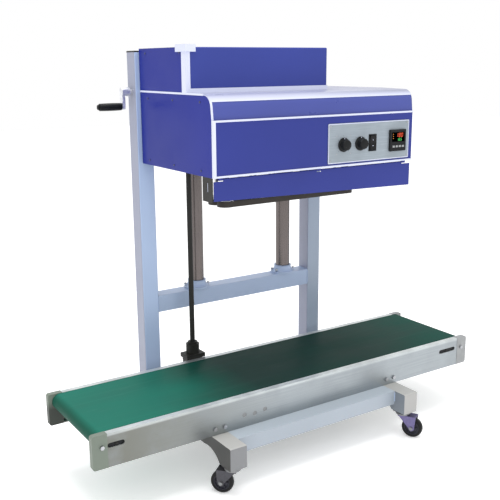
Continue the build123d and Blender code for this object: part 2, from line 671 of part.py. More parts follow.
def trim_strips():
    """Light strips round the front panel and the box, the box's corner cap and the hood's skin."""
    front = PANEL_FRONT
    face = front - TRIM_T
    cap_x, cap_y, cap_z = BOX_CAP
    cap_top = BOX_TOP + 8
    cap_low = cap_top - cap_z
    foot = BOX_FRONT - TRIM_T
    nose_end = HOOD_NOSE + HOOD_RADIUS
    with BuildPart() as trims:
        box_at((HEAD_L, face, HEAD_LOW), (PANEL_L, HEAD_FRONT, HOOD_LINE))
        box_at((PANEL_L, face, HOOD_LINE - TRIM_W), (PANEL_R, front, HOOD_LINE))
        box_at((PANEL_L, face, HEAD_LOW), (PANEL_R, front, HEAD_LOW + TRIM_W))
        box_at((HEAD_L, foot, HOOD_TOP), (HEAD_L + 15, BOX_FRONT, cap_low))
        box_at((HEAD_L - 1, foot, HOOD_TOP), (HEAD_L, BOX_FRONT + 24, cap_low))
        box_at((HEAD_L + 15, foot, HOOD_TOP), (BOX_R, BOX_FRONT, HOOD_TOP + 15))
        box_at((HEAD_L - 1, nose_end, HOOD_TOP - 3), (HEAD_L, HEAD_BACK, HOOD_TOP + 3))
        hood_skin(HEAD_R - HEAD_L, SKIN_LOW)
        hood_skin(SKIN_EDGE, HOOD_LINE)
        box_at((BOX_R, BOX_FRONT, HOOD_TOP), (HEAD_R, HEAD_BACK, HOOD_TOP + SKIN_T))
        low = (HEAD_L - 4, BOX_FRONT - 6, cap_low)
        box_at(low, (HEAD_L + cap_x, BOX_FRONT + cap_y, cap_top))
        low = (HEAD_L, BOX_FRONT, cap_low)
        box_at(low, (HEAD_L + cap_x, BOX_FRONT + cap_y, BOX_TOP), Mode.SUBTRACT)
    save(trims, "trim_strips")


def front_panel():
    with BuildPart() as panel:
        box_at((PANEL_L, PANEL_FRONT, HEAD_LOW), (PANEL_R, HEAD_FRONT + SHEET, HOOD_LINE))
        low = (PANEL_L + SHEET, PANEL_FRONT + SHEET, HEAD_LOW + SHEET)
        high = (PANEL_R - SHEET, HEAD_FRONT + SHEET, HOOD_LINE - SHEET)
        box_at(low, high, Mode.SUBTRACT)
        control_holes(PANEL_FRONT - 1, PANEL_FRONT + 2 * SHEET)
    save(panel, "front_panel")


def control_holes(y0, y1):
    """The openings that the knobs, the rocker and the temperature controller pass through."""
    for x in (KNOB_X, SELECTOR_X):
        rod_y(y0, y1, x, CONTROL_Z, 3 + FIT, Mode.SUBTRACT)
    width, height = ROCKER
    x0 = ROCKER_X - width / 2 - 1
    x1 = ROCKER_X + width / 2 + 1
    box_at((x0, y0, CONTROL_Z - height / 2 - 2), (x1, y1, CONTROL_Z + height / 2 + 2), Mode.SUBTRACT)
    half = METER / 2 - 2
    box_at((METER_X - half, y0, METER_Z - half), (METER_X + half, y1, METER_Z + half), Mode.SUBTRACT)


def control_plate():
    with BuildPart() as plate:
        box_at((PLATE_L, PLATE_FRONT, PLATE_LOW), (PLATE_R, PANEL_FRONT, PLATE_TOP))
        fillet(plate.edges().filter_by(Axis.Y), 5)
        control_holes(PLATE_FRONT - 1, PANEL_FRONT + 1)
    save(plate, "control_plate")


def temperature_controller():
    half = METER / 2
    body = half - 2
    window = 29
    with BuildPart() as meter:
        low = (METER_X - half, PLATE_FRONT - 8, METER_Z - half)
        box_at(low, (METER_X + half, PLATE_FRONT, METER_Z + half))
        fillet(meter.edges().filter_by(Axis.Y), 3)
        chamfer(meter.faces().sort_by(Axis.Y)[0].edges(), 1.5)
        low = (METER_X - body, PLATE_FRONT, METER_Z - body)
        box_at(low, (METER_X + body, PLATE_FRONT + 70, METER_Z + body))
        low = (METER_X - window, PLATE_FRONT - 9, METER_Z - 5)
        box_at(low, (METER_X + window, PLATE_FRONT - 7, METER_Z + window - 1), Mode.SUBTRACT)
    save(meter, "temperature_controller")


def head_base_plate():
    """The head's floor, with the band wheels' bearing bosses and the guard's hinge ears and pin."""
    with BuildPart() as plate:
        low = (HEAD_L + SHEET, HEAD_FRONT + 2 * SHEET, HEAD_LOW)
        box_at(low, (HEAD_R - SHEET, HEAD_BACK - SHEET, HEAD_LOW + 3))
        rod_z(HEAD_LOW - 1, HEAD_LOW + 5, DRUM_X, ROD_Y, 22, Mode.SUBTRACT)
        for x in BAND_WHEEL_X:
            for side in (-1, 1):
                y = SEAL_Y + side * BAND_AXIS
                rod_z(HEAD_LOW - 14, HEAD_LOW, x, y, 2 * SPINDLE_R)
                rod_z(HEAD_LOW - 20, HEAD_LOW + 5, x, y, SPINDLE_R + FIT, Mode.SUBTRACT)
        for x in HINGE_EARS:
            low = (x - EAR_HALF, HINGE_Y - 3, HINGE_Z - 3)
            box_at(low, (x + EAR_HALF, HINGE_Y + 3, HEAD_LOW))
        rod_x(HINGE_EARS[0] - EAR_HALF, HINGE_EARS[-1] + EAR_HALF, HINGE_Y, HINGE_Z, HINGE_PIN_R)
    save(plate, "head_base_plate")


def front_guard():
    left = HEAD_L + 6
    right = HEAD_R - 1
    face = HINGE_Y - 3
    top = HINGE_Z - 5.5
    low_left, low_right = GUARD_LOW
    across = Plane(origin=(0, face, 0), x_dir=(1, 0, 0), z_dir=(0, -1, 0))
    with BuildPart() as guard:
        for high_left, high_right, depth in (
            (top, top, GUARD_T),
            (low_left + GUARD_T, low_right + GUARD_T, GUARD_LIP),
        ):
            with BuildSketch(across) as sheet:
                with BuildLine():
                    Polyline(
                        (left, low_left), (right, low_right), (right, high_right), (left, high_left),
                        (left, low_left)
                    )
                make_face()
            extrude(sheet.sketch, amount=-depth)
        for a, b in zip(HINGE_EARS, HINGE_EARS[1:]):
            start = a + EAR_HALF + 0.5
            end = b - EAR_HALF - 0.5
            rod_x(start, end, HINGE_Y, HINGE_Z, 3)
            box_at((start, face, top), (end, face + GUARD_T, HINGE_Z))
        rod_x(HINGE_EARS[0], HINGE_EARS[-1], HINGE_Y, HINGE_Z, HINGE_PIN_R + FIT, Mode.SUBTRACT)
    save(guard, "front_guard")


def infeed_guide():
    """An angle under the head's left end whose slotted leg hides the bands' infeed."""
    slot = (30, 5)
    leg = 3
    with BuildPart() as guide:
        box_at((HEAD_L, -212, GUIDE_LOW), (HEAD_L + leg, -156, HEAD_LOW))
        box_at((HEAD_L + leg, -200, HEAD_LOW - leg), (HEAD_L + 19, -160, HEAD_LOW))
        with BuildSketch(Plane.YZ.offset(HEAD_L - 1)):
            with Locations((-185, HEAD_LOW - 30)):
                SlotOverall(*slot, rotation=90)
        extrude(amount=leg + 2, mode=Mode.SUBTRACT)
    save(guide, "infeed_guide")


def knob(name, x, r, bar):
    z = CONTROL_Z
    base = PLATE_FRONT - GAP
    with BuildPart() as body:
        rod_y(base - 6, base, x, z, r)
        rod_y(base - (10 if bar else 20), base - 6, x, z, r - 3)
        if bar:
            box_at((x - 5, base - 22, z - r + 4), (x + 5, base - 10, z + r - 4))
        chamfer(body.edges().group_by(Axis.Y)[0], 1)
        rod_y(base, PANEL_FRONT + 12, x, z, 3)
    save(body, name)


def rocker_switch():
    y = PANEL_FRONT
    width, height = ROCKER
    tip = height / 2 - 1
    with BuildPart() as rocker:
        with BuildSketch(Plane.YZ.offset(ROCKER_X - width / 2)):
            with BuildLine():
                Polyline(
                    (y + 8, CONTROL_Z - 10), (y - 1, CONTROL_Z - tip), (y - 7, CONTROL_Z - tip),
                    (y - 4, CONTROL_Z), (y - 7, CONTROL_Z + tip), (y - 1, CONTROL_Z + tip),
                    (y + 8, CONTROL_Z + 10), (y + 8, CONTROL_Z - 10)
                )
            make_face()
        extrude(amount=width)
        stub = width / 2 + 0.8
        rod_x(ROCKER_X - stub, ROCKER_X + stub, ROCKER_PIVOT_Y, CONTROL_Z, 1.5)
    save(rocker, "rocker_switch")


# ---- sealing head: works --------------------------------------------------------------------
def slide_blocks():
    with BuildPart() as blocks:
        for x in POST_X:
            box_at((x - 48, HEAD_BACK, 1000), (x + 48, COLUMN_Y + 40, 1115))
            rod_z(990, 1120, x, COLUMN_Y, POST_R + FIT, Mode.SUBTRACT)
        fillet(blocks.edges().filter_by(Axis.Z).group_by(Axis.Y)[-1], 8)
    save(blocks, "slide_blocks")


def lift_nut():
    with BuildPart() as nut:
        low = NUT_LOW - 10
        high = NUT_LOW + 46
        box_at((SCREW_X - 32, HEAD_BACK, low), (SCREW_X + 32, HEAD_BACK + 8, high))
        box_at((SCREW_X - 20, HEAD_BACK + 8, NUT_LOW), (SCREW_X + 20, COLUMN_Y, NUT_LOW + 36))
        rod_z(NUT_LOW, NUT_LOW + 36, SCREW_X, COLUMN_Y, 20)
        rod_z(low, high, SCREW_X, COLUMN_Y, SCREW_R + FIT, Mode.SUBTRACT)
    save(nut, "lift_nut")


def drive_motor():
    low = HEAD_LOW + 3
    shell_r = 52
    fins = 12
    with BuildPart() as motor:
        box_at((MOTOR_X - 55, MOTOR_Y - 50, low), (MOTOR_X + 55, MOTOR_Y + 50, low + 70))
        fillet(motor.edges().filter_by(Axis.Z), 8)
        rod_z(low + 70, low + 215, MOTOR_X, MOTOR_Y, shell_r)
        for k in range(fins):
            turn = math.tau * k / fins
            radial = (math.cos(turn), math.sin(turn), 0)
            with BuildSketch(Plane(origin=(MOTOR_X, MOTOR_Y, low + 80), x_dir=radial)):
                with Locations((shell_r + 2, 0)):
                    Rectangle(10, 3)
            extrude(amount=100)
    save(motor, "drive_motor")


def drive_hub():
    """The chain wheel that slides along the vertical drive shaft and turns with it."""
    low = HEAD_LOW + 30
    tip_r = 38
    teeth = 18
    with BuildPart() as hub:
        rod_z(HEAD_LOW + 4, HEAD_LOW + 50, DRUM_X, ROD_Y, 16)
        rod_z(low, low + 5, DRUM_X, ROD_Y, tip_r)
        with BuildSketch(Plane.XY.offset(low)):
            with Locations((DRUM_X, ROD_Y)):
                with PolarLocations(tip_r + 1, teeth):
                    Circle(4.2)
        extrude(amount=5, mode=Mode.SUBTRACT)
        rod_z(HEAD_LOW, HEAD_LOW + 60, DRUM_X, ROD_Y, ROD_R + FIT, Mode.SUBTRACT)
    save(hub, "drive_hub")


def sealing_bands():
    span = BAND_WHEEL_X[1] - BAND_WHEEL_X[0]
    middle = sum(BAND_WHEEL_X) / 2
    with BuildPart() as bands:
        for side in (-1, 1):
            y = SEAL_Y + side * BAND_AXIS
            with BuildSketch(Plane.XY.offset(BAND_LOW)):
                with Locations((middle, y)):
                    SlotCenterToCenter(span, 2 * (BAND_WHEEL_R + BAND_T))
                with Locations((middle, y)):
                    SlotCenterToCenter(span, 2 * BAND_WHEEL_R, mode=Mode.SUBTRACT)
            extrude(amount=BAND_HIGH - BAND_LOW)
    save(bands, "sealing_bands")


def band_wheel(name, x, side):
    y = SEAL_Y + side * BAND_AXIS
    with BuildPart() as wheel:
        rod_z(BAND_LOW - 1, BAND_HIGH + 1, x, y, BAND_WHEEL_R - GAP)
        rod_z(BAND_HIGH + 1, BAND_HIGH + 8, x, y, 2 * SPINDLE_R)
        rod_z(BAND_HIGH + 8, HEAD_LOW + 24, x, y, SPINDLE_R)
        rod_z(HEAD_LOW + 12, HEAD_LOW + 17, x, y, 20)
        chamfer(wheel.faces().sort_by(Axis.Z)[-1].edges(), 1)
    save(wheel, name)


def press_blocks(name, x0, x1, fins):
    """Two facing blocks that bear on the inside of the two bands, hung from the base plate."""
    with BuildPart() as blocks:
        for side in (-1, 1):
            near = SEAL_Y + side * (BAND_T + 2 * GAP)
            far = SEAL_Y + side * 20
            y0, y1 = sorted((near, far))
            box_at((x0, y0, BAND_LOW - 2), (x1, y1, BAND_HIGH + 6))
            for k in range(fins):
                x = x0 + (k + 1) * (x1 - x0) / (fins + 1)
                box_at((x - 1.5, y0, BAND_HIGH + 6), (x + 1.5, y1, BAND_HIGH + 22))
            for x in (x0 + 14, x1 - 14):
                rod_z(BAND_HIGH, HEAD_LOW, x, (y0 + y1) / 2, 5)
    save(blocks, name)


feet()
base_beams()
columns()
column_caps()
crossbar("mid_crossbar", MID_BAR_Z, [])
crossbar("upper_crossbar", UPPER_BAR_Z, [(SCREW_X, SCREW_R + 1)])
post_sockets()
guide_posts()
lift_gearbox()
lift_screw()
crank()
roller_z = RAIL_TOP - BELT_T - ROLLER_R
snub_z = RAIL_TOP - 2 * BELT_T - 2 * ROLLER_R - SNUB_R
snub_reach = DRUM_R + BELT_T + SNUB_R
through = [(DRUM_X + s * snub_reach, snub_z, JOURNAL_R + FIT) for s in (-1, 1)]
through.append((DRUM_X, DRUM_Z, JOURNAL_R + FIT))
rail("rail_front", -1, through)
rail("rail_rear", 1, through)
rail_end_caps()
slider_bed()
conveyor_belt()
end_reach = RAIL_OUT - CAP_SKIN - 1
roller("end_roller_left", -ROLLER_X, roller_z, ROLLER_R, end_reach, end_reach)
roller("end_roller_right", ROLLER_X, roller_z, ROLLER_R, end_reach, end_reach)
roller("snub_roller_left", DRUM_X - snub_reach, snub_z, SNUB_R, RAIL_OUT - 1, RAIL_OUT - 1)
roller("snub_roller_right", DRUM_X + snub_reach, snub_z, SNUB_R, RAIL_OUT - 1, RAIL_OUT - 1)
drum_back = ROD_Y - BEVEL_IN - CONVEYOR_Y
roller("drive_drum", DRUM_X, DRUM_Z, DRUM_R, RAIL_OUT - 1, drum_back, gear=True)
conveyor_gearbox()
drive_shaft()
frame_bolts()
caster_plates()
for caster_name, caster_x, caster_y, caster_heading in CASTERS:
    caster(caster_name, caster_x, caster_y, caster_heading)
head_side("head_side_left", HEAD_L, BOX_TOP, [(BOX_FRONT, BOX_TOP)])
head_side("head_side_right", HEAD_R - SHEET, HOOD_TOP, [])
hood_cover()
upper_cover()
rear_cover()
trim_strips()
front_panel()
control_plate()
temperature_controller()
head_base_plate()
front_guard()
infeed_guide()
knob("speed_knob", KNOB_X, KNOB_R, False)
knob("selector_knob", SELECTOR_X, KNOB_R, True)
rocker_switch()
slide_blocks()
lift_nut()
drive_motor()
drive_hub()
sealing_bands()
for wheel_x, where in zip(BAND_WHEEL_X, ("left", "right")):
    band_wheel(f"band_wheel_front_{where}", wheel_x, -1)
    band_wheel(f"band_wheel_rear_{where}", wheel_x, 1)
press_blocks("heater_blocks", -190, -90, 0)
press_blocks("cooling_blocks", -50, 40, 5)
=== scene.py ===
"""Looks for the continuous band sealer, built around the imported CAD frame. Metres, +Z up, -Y front."""

import json
import math

import bmesh
import bpy
from mathutils import Matrix, Vector


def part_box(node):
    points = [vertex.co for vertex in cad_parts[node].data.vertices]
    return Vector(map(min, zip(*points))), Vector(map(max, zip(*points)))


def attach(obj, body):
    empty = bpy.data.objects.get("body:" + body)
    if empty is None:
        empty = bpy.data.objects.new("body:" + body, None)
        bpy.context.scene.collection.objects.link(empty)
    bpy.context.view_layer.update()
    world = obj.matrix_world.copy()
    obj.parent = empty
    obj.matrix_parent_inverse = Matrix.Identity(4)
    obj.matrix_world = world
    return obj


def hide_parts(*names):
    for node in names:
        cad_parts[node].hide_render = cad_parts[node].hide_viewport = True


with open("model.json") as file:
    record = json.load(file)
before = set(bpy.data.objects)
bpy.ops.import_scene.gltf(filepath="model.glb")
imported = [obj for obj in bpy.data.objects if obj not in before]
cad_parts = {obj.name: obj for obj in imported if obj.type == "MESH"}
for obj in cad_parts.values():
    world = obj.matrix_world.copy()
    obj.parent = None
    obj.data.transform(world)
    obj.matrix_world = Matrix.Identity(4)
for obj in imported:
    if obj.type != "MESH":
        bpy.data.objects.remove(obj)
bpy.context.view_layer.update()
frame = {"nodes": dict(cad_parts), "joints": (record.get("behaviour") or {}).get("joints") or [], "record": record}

MM = 0.001
FORWARD, BACK, UP = (0, -1, 0), (0, 1, 0), (0, 0, 1)
nodes = frame["nodes"]


# ---- small maths helpers ---------------------------------------------------------------------
def centre(node):
    low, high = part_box(node)
    return (low + high) / 2


def axes_for(direction):
    """Two unit vectors square to a direction, and the direction itself."""
    w = Vector(direction).normalized()
    side = Vector(UP) if abs(w.z) < 0.9 else Vector((1, 0, 0))
    u = side.cross(w).normalized()
    return u, w.cross(u), w


# ---- material kit ----------------------------------------------------------------------------
class Shader:
    """A material with a Principled shader and short ways to add the nodes that feed it."""

    def __init__(self, name, colour, roughness=0.5, metallic=0.0):
        self.material = bpy.data.materials.new(name)
        self.material.use_nodes = True
        self.tree = self.material.node_tree
        self.bsdf = self.tree.nodes["Principled BSDF"]
        self.colour = (*colour, 1.0)
        self.bsdf.inputs["Base Color"].default_value = self.colour
        self.bsdf.inputs["Roughness"].default_value = roughness
        self.bsdf.inputs["Metallic"].default_value = metallic
        self.coords = self.node("ShaderNodeTexCoord").outputs["Object"]

    def node(self, kind, **settings):
        made = self.tree.nodes.new(kind)
        for key, value in settings.items():
            setattr(made, key, value)
        return made

    def link(self, source, target):
        self.tree.links.new(source, target)

    def stretched(self, scale):
        mapping = self.node("ShaderNodeMapping")
        mapping.inputs["Scale"].default_value = scale
        self.link(self.coords, mapping.inputs["Vector"])
        return mapping.outputs["Vector"]

    def place(self):
        """The object's own X, Y and Z at the shaded point."""
        split = self.node("ShaderNodeSeparateXYZ")
        self.link(self.coords, split.inputs["Vector"])
        return split.outputs

    def facing(self):
        """The X, Y and Z of the way the shaded face looks."""
        geometry = self.node("ShaderNodeNewGeometry")
        split = self.node("ShaderNodeSeparateXYZ")
        self.link(geometry.outputs["Normal"], split.inputs["Vector"])
        return split.outputs

    def noise(self, scale, detail=2.0, stretch=(1, 1, 1), roughness=0.5):
        noise = self.node("ShaderNodeTexNoise")
        noise.inputs["Scale"].default_value = scale
        noise.inputs["Detail"].default_value = detail
        noise.inputs["Roughness"].default_value = roughness
        self.link(self.stretched(stretch), noise.inputs["Vector"])
        return noise.outputs["Fac"]

    def ramp(self, source, low, high, out_low=0.0, out_high=1.0):
        spread = self.node("ShaderNodeMapRange")
        values = (low, high, out_low, out_high)
        for key, value in zip(("From Min", "From Max", "To Min", "To Max"), values):
            spread.inputs[key].default_value = value
        self.link(source, spread.inputs["Value"])
        return spread.outputs["Result"]

    def times(self, a, b):
        product = self.node("ShaderNodeMath", operation="MULTIPLY")
        self.link(a, product.inputs[0])
        if isinstance(b, float):
            product.inputs[1].default_value = b
        else:
            self.link(b, product.inputs[1])
        return product.outputs["Value"]

    def mix(self, fac, a, b):
        """Mixes two colours, each a tuple or a socket."""
        blend = self.node("ShaderNodeMix", data_type="RGBA")
        self.link(fac, blend.inputs["Factor"])
        for socket, value in ((blend.inputs[6], a), (blend.inputs[7], b)):
            if isinstance(value, tuple):
                socket.default_value = (*value[:3], 1.0)
            else:
                self.link(value, socket)
        return blend.outputs[2]

    def bump(self, height, strength, distance, normal=None):
        bump = self.node("ShaderNodeBump")
        bump.inputs["Strength"].default_value = strength
        bump.inputs["Distance"].default_value = distance
        self.link(height, bump.inputs["Height"])
        if normal is not None:
            self.link(normal, bump.inputs["Normal"])
        return bump.outputs["Normal"]

    def rounded(self, radius):
        """Softened edges, for sheet metal and castings whose CAD corners are sharp."""
        bevel = self.node("ShaderNodeBevel", samples=4)
        bevel.inputs["Radius"].default_value = radius
        return bevel.outputs["Normal"]

    def edges(self, soft, low=0.02, high=0.3):
        """A mask that is 1 where the surface turns sharply."""
        geometry = self.node("ShaderNodeNewGeometry")
        dot = self.node("ShaderNodeVectorMath", operation="DOT_PRODUCT")
        self.link(soft, dot.inputs[0])
        self.link(geometry.outputs["Normal"], dot.inputs[1])
        turn = self.node("ShaderNodeMath", operation="SUBTRACT")
        turn.inputs[0].default_value = 1.0
        self.link(dot.outputs["Value"], turn.inputs[1])
        return self.ramp(turn.outputs["Value"], low, high)

    def paint_with(self, colour=None, roughness=None, normal=None):
        for key, value in (("Base Color", colour), ("Roughness", roughness), ("Normal", normal)):
            if value is not None:
                self.link(value, self.bsdf.inputs[key])
        return self.material


def shade(colour, factor):
    return tuple(min(1.0, c * factor) for c in colour)


def powder_coat(name, colour, roughness, worn, coat=0.0, radius=1.2 * MM, sheen=0.5, painted_shading=None):
    """Sprayed paint: slight orange peel, faint cloudiness, dulled patches and rubbed edges, with painted light and
    shade when a shading is given.
    """
    s = Shader(name, colour, roughness)
    s.bsdf.inputs["Specular IOR Level"].default_value = sheen
    cloud = s.ramp(s.noise(2.6, 3.0), 0.3, 0.7)
    body = s.mix(cloud, shade(colour, 0.93), shade(colour, 1.06))
    soft = s.rounded(radius)
    rub = s.times(s.edges(soft), s.ramp(s.noise(70.0, 4.0), 0.5, 0.62))
    specks = s.ramp(s.noise(900.0, 2.0), 0.66, 0.72, 0.0, 0.5)
    body = s.mix(specks, body, shade(colour, 1.25))
    body = s.mix(rub, body, worn)
    # Painted light and shade of one piece, when given.
    if painted_shading:
        body = painted_shading(s, body)
    rough = s.ramp(s.noise(9.0, 4.0), 0.3, 0.7, roughness - 0.06, roughness + 0.08)
    peel = s.bump(s.noise(420.0, 2.0), 0.10, 0.4 * MM, soft)
    s.bsdf.inputs["Coat Weight"].default_value = coat
    s.bsdf.inputs["Coat Roughness"].default_value = 0.12
    return s.paint_with(body, rough, peel)


def brushed_metal(name, colour, stretch, roughness, metallic=1.0, radius=0.6 * MM, marks=0.5):
    """Metal with a grain along one axis, fine scratches and dull handling marks."""
    s = Shader(name, colour, roughness, metallic)
    grain = s.noise(1.0, 3.0, stretch, 0.6)
    tone = s.mix(s.ramp(grain, 0.35, 0.65), shade(colour, 0.86), shade(colour, 1.1))
    smudge = s.ramp(s.noise(11.0, 5.0), 0.45, 0.7, 0.0, marks)
    tone = s.mix(smudge, tone, shade(colour, 0.78))
    rough = s.ramp(grain, 0.3, 0.7, roughness - 0.07, roughness + 0.1)
    normal = s.bump(grain, 0.12, 0.15 * MM, s.rounded(radius))
    return s.paint_with(tone, rough, normal)


def painted_foot_shading(s, body):
    """Painted light and shade on the feet: the outfeed foot lighter, the faces along the conveyor dark as shade,
    darkest on the infeed foot, and the tops paler as if lit from above.
    """
    sideways = s.facing()["X"]
    infeed = s.ramp(s.place()["X"], 0.05, -0.05)
    # Painted light: the outfeed foot made lighter than the infeed foot.
    body = s.mix(infeed, (0.375, 0.372, 0.362), body)
    # Painted shade: the faces along the conveyor made dark, darkest on the infeed foot.
    across = s.ramp(s.times(sideways, sideways), 0.3, 0.7)
    body = s.mix(across, body, s.mix(infeed, (0.190, 0.215, 0.245), (0.036, 0.035, 0.034)))
    # Painted light: the upward faces made paler.
    return s.mix(s.ramp(s.facing()["Z"], 0.5, 0.9), body, (0.46, 0.46, 0.44))


def painted_lit_tops(s, body):
    """Painted light: paint made paler on upward faces, as if lit from above."""
    return s.mix(s.ramp(s.facing()["Z"], 0.5, 0.9), body, (0.450, 0.510, 0.565))


def painted_column_shade(s, body):
    """Painted shade: paint made darker on the faces along the conveyor and towards the outfeed end."""
    sideways = s.facing()["X"]
    # Painted shade: darker towards the outfeed end.
    body = s.mix(s.ramp(s.place()["X"], -0.1, 0.2), body, (0.290, 0.352, 0.445))
    # Painted shade: darker on the faces along the conveyor.
    return s.mix(s.ramp(s.times(sideways, sideways), 0.3, 0.7), body, (0.268, 0.286, 0.378))


def trim_material():
    """Light enamel on the strips and the hood's sheet, greyer on upward faces, with painted shade darkening these
    towards the outfeed side.
    """
    colour, upward_grey = (0.62, 0.65, 0.80), (0.33, 0.345, 0.46)
    s = Shader("white_trim", colour, 0.32)
    cloud = s.ramp(s.noise(2.6, 3.0), 0.3, 0.7)
    upward_tone = s.mix(cloud, shade(upward_grey, 0.95), shade(upward_grey, 1.07))
    # Painted shade: the upward faces made darker towards the outfeed side.
    upward_tone = s.mix(s.ramp(s.place()["X"], -0.05, 0.35), upward_tone, shade(upward_grey, 0.74))
    body = s.mix(cloud, shade(colour, 0.96), shade(colour, 1.03))
    body = s.mix(s.ramp(s.facing()["Z"], 0.45, 0.9), body, upward_tone)
    rough = s.ramp(s.noise(9.0, 4.0), 0.3, 0.7, 0.27, 0.40)
    return s.paint_with(body, rough, s.bump(s.noise(420.0, 2.0), 0.1, 0.4 * MM, s.rounded(1.0 * MM)))


def rail_material():
    """Anodised channel with drawn lines and handling marks, with painted shade darkening it towards the infeed
    end, a painted highlight along the top lip and painted light on upward faces.
    """
    colour = (0.335, 0.365, 0.385)
    s = Shader("rail_metal", colour, 0.38, 0.85)
    grain = s.noise(1.0, 3.0, (3, 600, 600), 0.6)
    place = s.place()
    # Painted shade: the channel made darker and warmer towards the infeed end.
    infeed_shade = s.ramp(place["X"], -0.10, -0.72)
    tone = s.mix(s.ramp(grain, 0.35, 0.65), shade(colour, 0.88), shade(colour, 1.1))
    tone = s.mix(infeed_shade, tone, (0.165, 0.168, 0.145))
    # Painted highlight: a light band along the top lip.
    tone = s.mix(s.ramp(place["Z"], 0.2655, 0.2705, 0.0, 0.55), tone, (0.62, 0.66, 0.66))
    # Painted light: upward faces made paler.
    tone = s.mix(s.ramp(s.facing()["Z"], 0.5, 0.9), tone, (0.68, 0.72, 0.72))
    tone = s.mix(s.ramp(s.noise(11.0, 5.0), 0.45, 0.7, 0.0, 0.5), tone, shade(colour, 0.8))
    rough = s.ramp(grain, 0.3, 0.7, 0.31, 0.48)
    return s.paint_with(tone, rough, s.bump(grain, 0.12, 0.15 * MM, s.rounded(0.6 * MM)))


def moulded(name, colour, roughness, grain=700.0, strength=0.18, radius=0.8 * MM, sheen=0.3):
    """Moulded plastic or rubber with a fine spark-eroded grain."""
    s = Shader(name, colour, roughness)
    s.bsdf.inputs["Specular IOR Level"].default_value = sheen
    mottled = s.mix(s.ramp(s.noise(25.0, 4.0), 0.35, 0.65), shade(colour, 0.85), shade(colour, 1.2))
    soft = s.rounded(radius)
    polish = s.times(s.edges(soft, 0.03, 0.4), 0.35)
    mottled = s.mix(polish, mottled, shade(colour, 2.2))
    rough = s.ramp(s.noise(40.0, 3.0), 0.3, 0.7, roughness - 0.06, roughness + 0.06)
    return s.paint_with(mottled, rough, s.bump(s.noise(grain, 1.0), strength, 0.2 * MM, soft))


def belt_material():
    """Green PVC belt: faint weave, lengthwise drag marks, patches of dust, a painted shadow under the head, a
    painted reflection towards the infeed end and painted shade at its ends.
    """
    green = (0.008, 0.108, 0.076)
    s = Shader("belt_green", green, 0.44)
    place = s.place()
    streaks = s.noise(1.0, 4.0, (1.5, 90, 1))
    patches = s.noise(4.5, 5.0, (0.6, 1.4, 1))
    tone = s.mix(s.ramp(patches, 0.35, 0.7), shade(green, 0.75), shade(green, 1.2))
    tone = s.mix(s.ramp(streaks, 0.56, 0.72, 0.0, 0.4), tone, (0.024, 0.150, 0.108))
    scuffs = s.ramp(s.noise(30.0, 6.0, (0.4, 2.0, 1)), 0.62, 0.75, 0.0, 0.35)
    tone = s.mix(scuffs, tone, (0.050, 0.165, 0.128))
    # Painted shadow of the head: the belt darkened between these two ramps.
    entering = s.ramp(place["X"], -0.42, -0.16)
    leaving = s.ramp(place["X"], 0.80, 0.30, 0.50, 0.80)
    tone = s.mix(s.times(entering, leaving), tone, (0.006, 0.018, 0.016))
    rough = s.ramp(patches, 0.3, 0.7, 0.40, 0.56)
    weave = s.node("ShaderNodeTexWave", wave_type="BANDS", bands_direction="DIAGONAL")
    weave.inputs["Scale"].default_value = 260.0
    s.link(s.coords, weave.inputs["Vector"])
    # Painted reflection: the belt made lighter towards the infeed end.
    tone = s.mix(s.ramp(place["X"], -0.30, -0.50, 0.0, 0.45), tone, (0.026, 0.190, 0.140))
    # Painted shade: the belt darkened at its ends, where it turns over the rollers.
    along = s.times(place["X"], place["X"])
    tone = s.mix(s.ramp(along, 0.548, 0.575, 0.0, 0.7), tone, (0.010, 0.052, 0.033))
    fine = s.bump(weave.outputs["Fac"], 0.06, 0.1 * MM)
    normal = s.bump(s.noise(14.0, 3.0, (0.5, 2, 1)), 0.12, 1.0 * MM, fine)
    s.bsdf.inputs["Specular IOR Level"].default_value = 0.04
    return s.paint_with(tone, rough, normal)


def cap_material():
    """Moulded end caps, darker and greener towards the infeed end, with a painted shadow under the belt on the
    rear cap.
    """
    grey = (0.30, 0.31, 0.315)
    s = Shader("cap_grey", grey, 0.48)
    s.bsdf.inputs["Specular IOR Level"].default_value = 0.3
    place = s.place()
    mottled = s.mix(s.ramp(s.noise(25.0, 4.0), 0.35, 0.65), shade(grey, 0.88), shade(grey, 1.1))
    mottled = s.mix(s.ramp(place["X"], 0.2, -0.7), mottled, (0.165, 0.195, 0.162))
    # Painted shadow of the belt on the rear cap at the infeed end.
    belt_shadow = s.times(s.ramp(place["Y"], 0.0, 0.02), s.ramp(place["Z"], 0.255, 0.225))
    belt_shadow = s.times(belt_shadow, s.ramp(place["X"], 0.0, -0.1, 0.0, 0.85))
    mottled = s.mix(belt_shadow, mottled, (0.030, 0.031, 0.028))
    rough = s.ramp(s.noise(40.0, 3.0), 0.3, 0.7, 0.42, 0.54)
    return s.paint_with(mottled, rough, s.bump(s.noise(700.0, 1.0), 0.18, 0.2 * MM, s.rounded(0.8 * MM)))


def glow(name, colour, strength):
    s = Shader(name, shade(colour, 0.4), 0.4)
    s.bsdf.inputs["Emission Color"].default_value = (*colour, 1.0)
    s.bsdf.inputs["Emission Strength"].default_value = strength
    return s.paint_with(s.mix(s.noise(300.0), shade(colour, 0.3), shade(colour, 0.5)))


def dark_window(name):
    s = Shader(name, (0.012, 0.010, 0.010), 0.08)
    s.bsdf.inputs["Coat Weight"].default_value = 0.6
    return s.paint_with(None, s.ramp(s.noise(60.0, 4.0), 0.4, 0.7, 0.05, 0.16))


def ground_material():
    s = Shader("studio_floor", (0.93, 0.93, 0.93), 0.7)
    s.bsdf.inputs["Emission Color"].default_value = (1.0, 1.0, 1.0, 1.0)
    s.bsdf.inputs["Emission Strength"].default_value = 0.32
    return s.paint_with(s.mix(s.noise(0.8, 3.0), (0.92, 0.92, 0.92), (0.94, 0.94, 0.94)))


